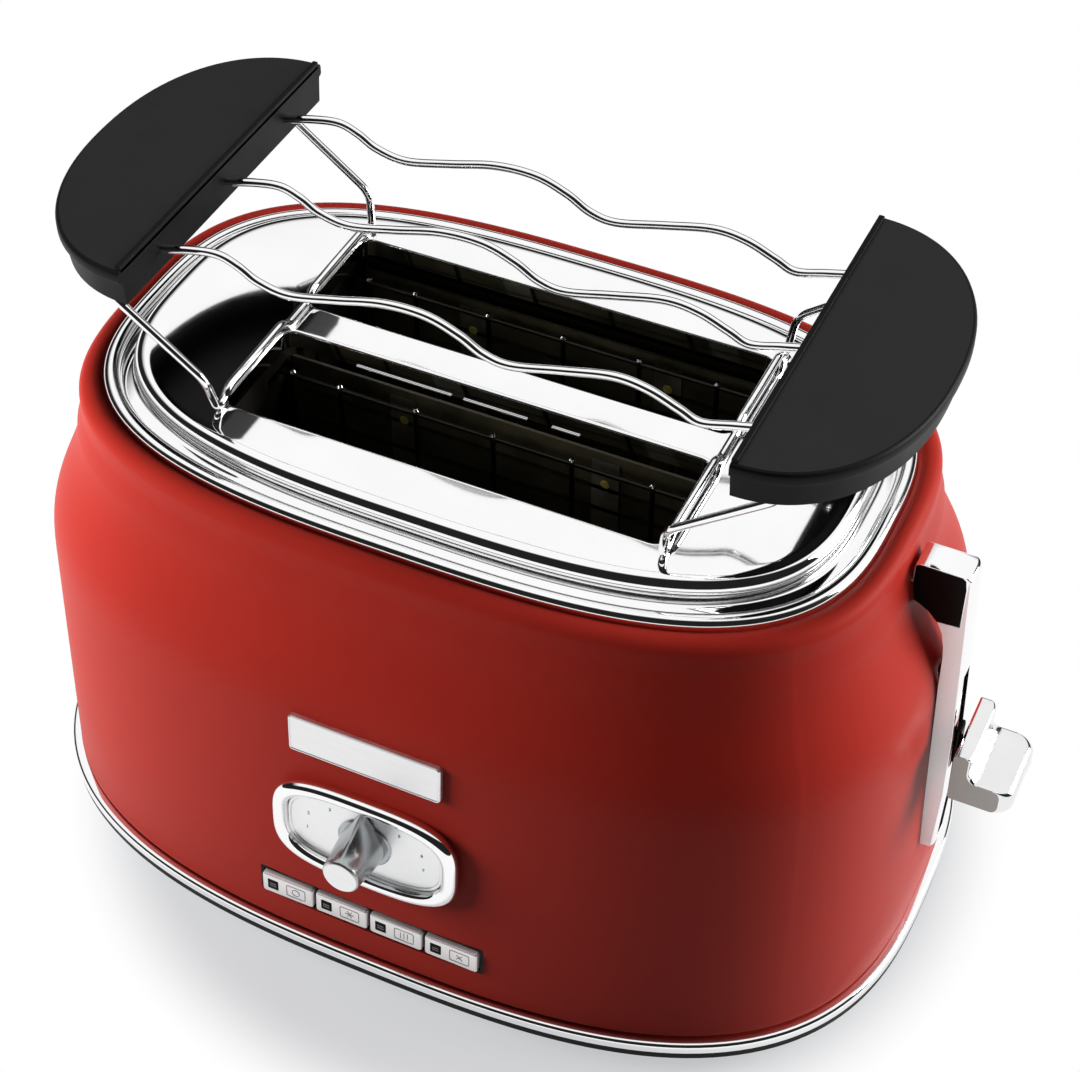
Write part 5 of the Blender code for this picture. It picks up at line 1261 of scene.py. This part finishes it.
def make_world():
    """White to the camera, a studio that is dark low down and in front to metal, and faint to the rest."""
    world = bpy.data.worlds.new("studio")
    bpy.context.scene.world = world
    world.use_nodes = True
    tree = world.node_tree
    place = node(tree, "ShaderNodeTexCoord").outputs["Generated"]
    height = node(tree, "ShaderNodeSeparateXYZ", {0: place}).outputs["Z"]
    inputs = {0: place, 1: STUDIO_FRONT}
    ahead = node(tree, "ShaderNodeVectorMath", inputs, operation="DOT_PRODUCT").outputs["Value"]
    front = node(tree, "ShaderNodeMath", {0: ahead, 1: 0.0}, operation="MAXIMUM").outputs[0]
    drop = node(tree, "ShaderNodeMath", {0: front, 1: STUDIO_FRONT_DROP}, operation="MULTIPLY").outputs[0]
    level = node(tree, "ShaderNodeMath", {0: height, 1: drop}, operation="SUBTRACT").outputs[0]
    inputs = {"Value": level, "From Min": STUDIO_START, "From Max": STUDIO_END, "To Min": STUDIO_DARK}
    sky = node(tree, "ShaderNodeMapRange", inputs).outputs[0]
    rays = node(tree, "ShaderNodeLightPath").outputs
    fill = shade(tree, "ShaderNodeBackground", WHITE, STUDIO_FILL)
    white = shade(tree, "ShaderNodeBackground", WHITE)
    seen = mix(tree, rays["Is Glossy Ray"], fill, shade(tree, "ShaderNodeBackground", sky))
    seen = mix(tree, rays["Diffuse Depth"], seen, fill)
    seen = mix(tree, rays["Is Transmission Ray"], seen, white)
    seen = mix(tree, rays["Is Camera Ray"], seen, white)
    tree.links.new(seen, tree.nodes["World Output"].inputs["Surface"])


def aim(obj, target, azimuth, elevation, distance):
    """Place an object round a target, at angles in degrees, and turn it to face the target."""
    a, e = math.radians(azimuth), math.radians(elevation)
    back = Vector((math.sin(a) * math.cos(e), -math.cos(a) * math.cos(e), math.sin(e)))
    obj.location = ORIGIN + Vector(target) + back * distance
    obj.rotation_mode = "QUATERNION"
    obj.rotation_quaternion = (-back).to_track_quat("-Z", "Y")
    bpy.context.scene.collection.objects.link(obj)


def add_lamp(name, azimuth, elevation, distance, size, power, mirrored=True):
    """A soft box that faces the body."""
    data = bpy.data.lights.new(name, "AREA")
    data.shape = "RECTANGLE"
    data.size = size
    data.size_y = size
    data.energy = power
    lamp = bpy.data.objects.new(name, data)
    lamp.visible_glossy = mirrored
    aim(lamp, LAMP_AIM, azimuth, elevation, distance)


def make_camera():
    data = bpy.data.cameras.new("camera")
    data.sensor_fit = "HORIZONTAL"
    data.sensor_width = CAMERA_SENSOR
    data.lens = CAMERA_LENS
    data.clip_start = CAMERA_NEAR
    camera = bpy.data.objects.new("camera", data)
    aim(camera, CAMERA_AIM, CAMERA_AZIMUTH, CAMERA_ELEVATION, CAMERA_DISTANCE)
    bpy.context.scene.camera = camera


make_camera()
make_floor()
make_world()
add_lamp("left_box", azimuth=-58, elevation=17, distance=0.47, size=0.26, power=1.9, mirrored=False)
add_lamp("right_box", azimuth=116, elevation=18, distance=1.3, size=0.7, power=16)
add_lamp("top_box", azimuth=170, elevation=66, distance=1.4, size=1.0, power=3, mirrored=False)
bpy.context.scene.view_settings.view_transform = "Standard"

make_shell()
make_rim()
make_plate()
make_base()
make_dial()
make_dial_numbers()
make_dial_knob()
make_badge()
make_buttons()
make_lever_bar()
make_lever_arm()
make_lever_knob()
make_handles()
make_rack()
make_heaters()
make_spring()
make_hems()
make_cages()
finish_nodes()
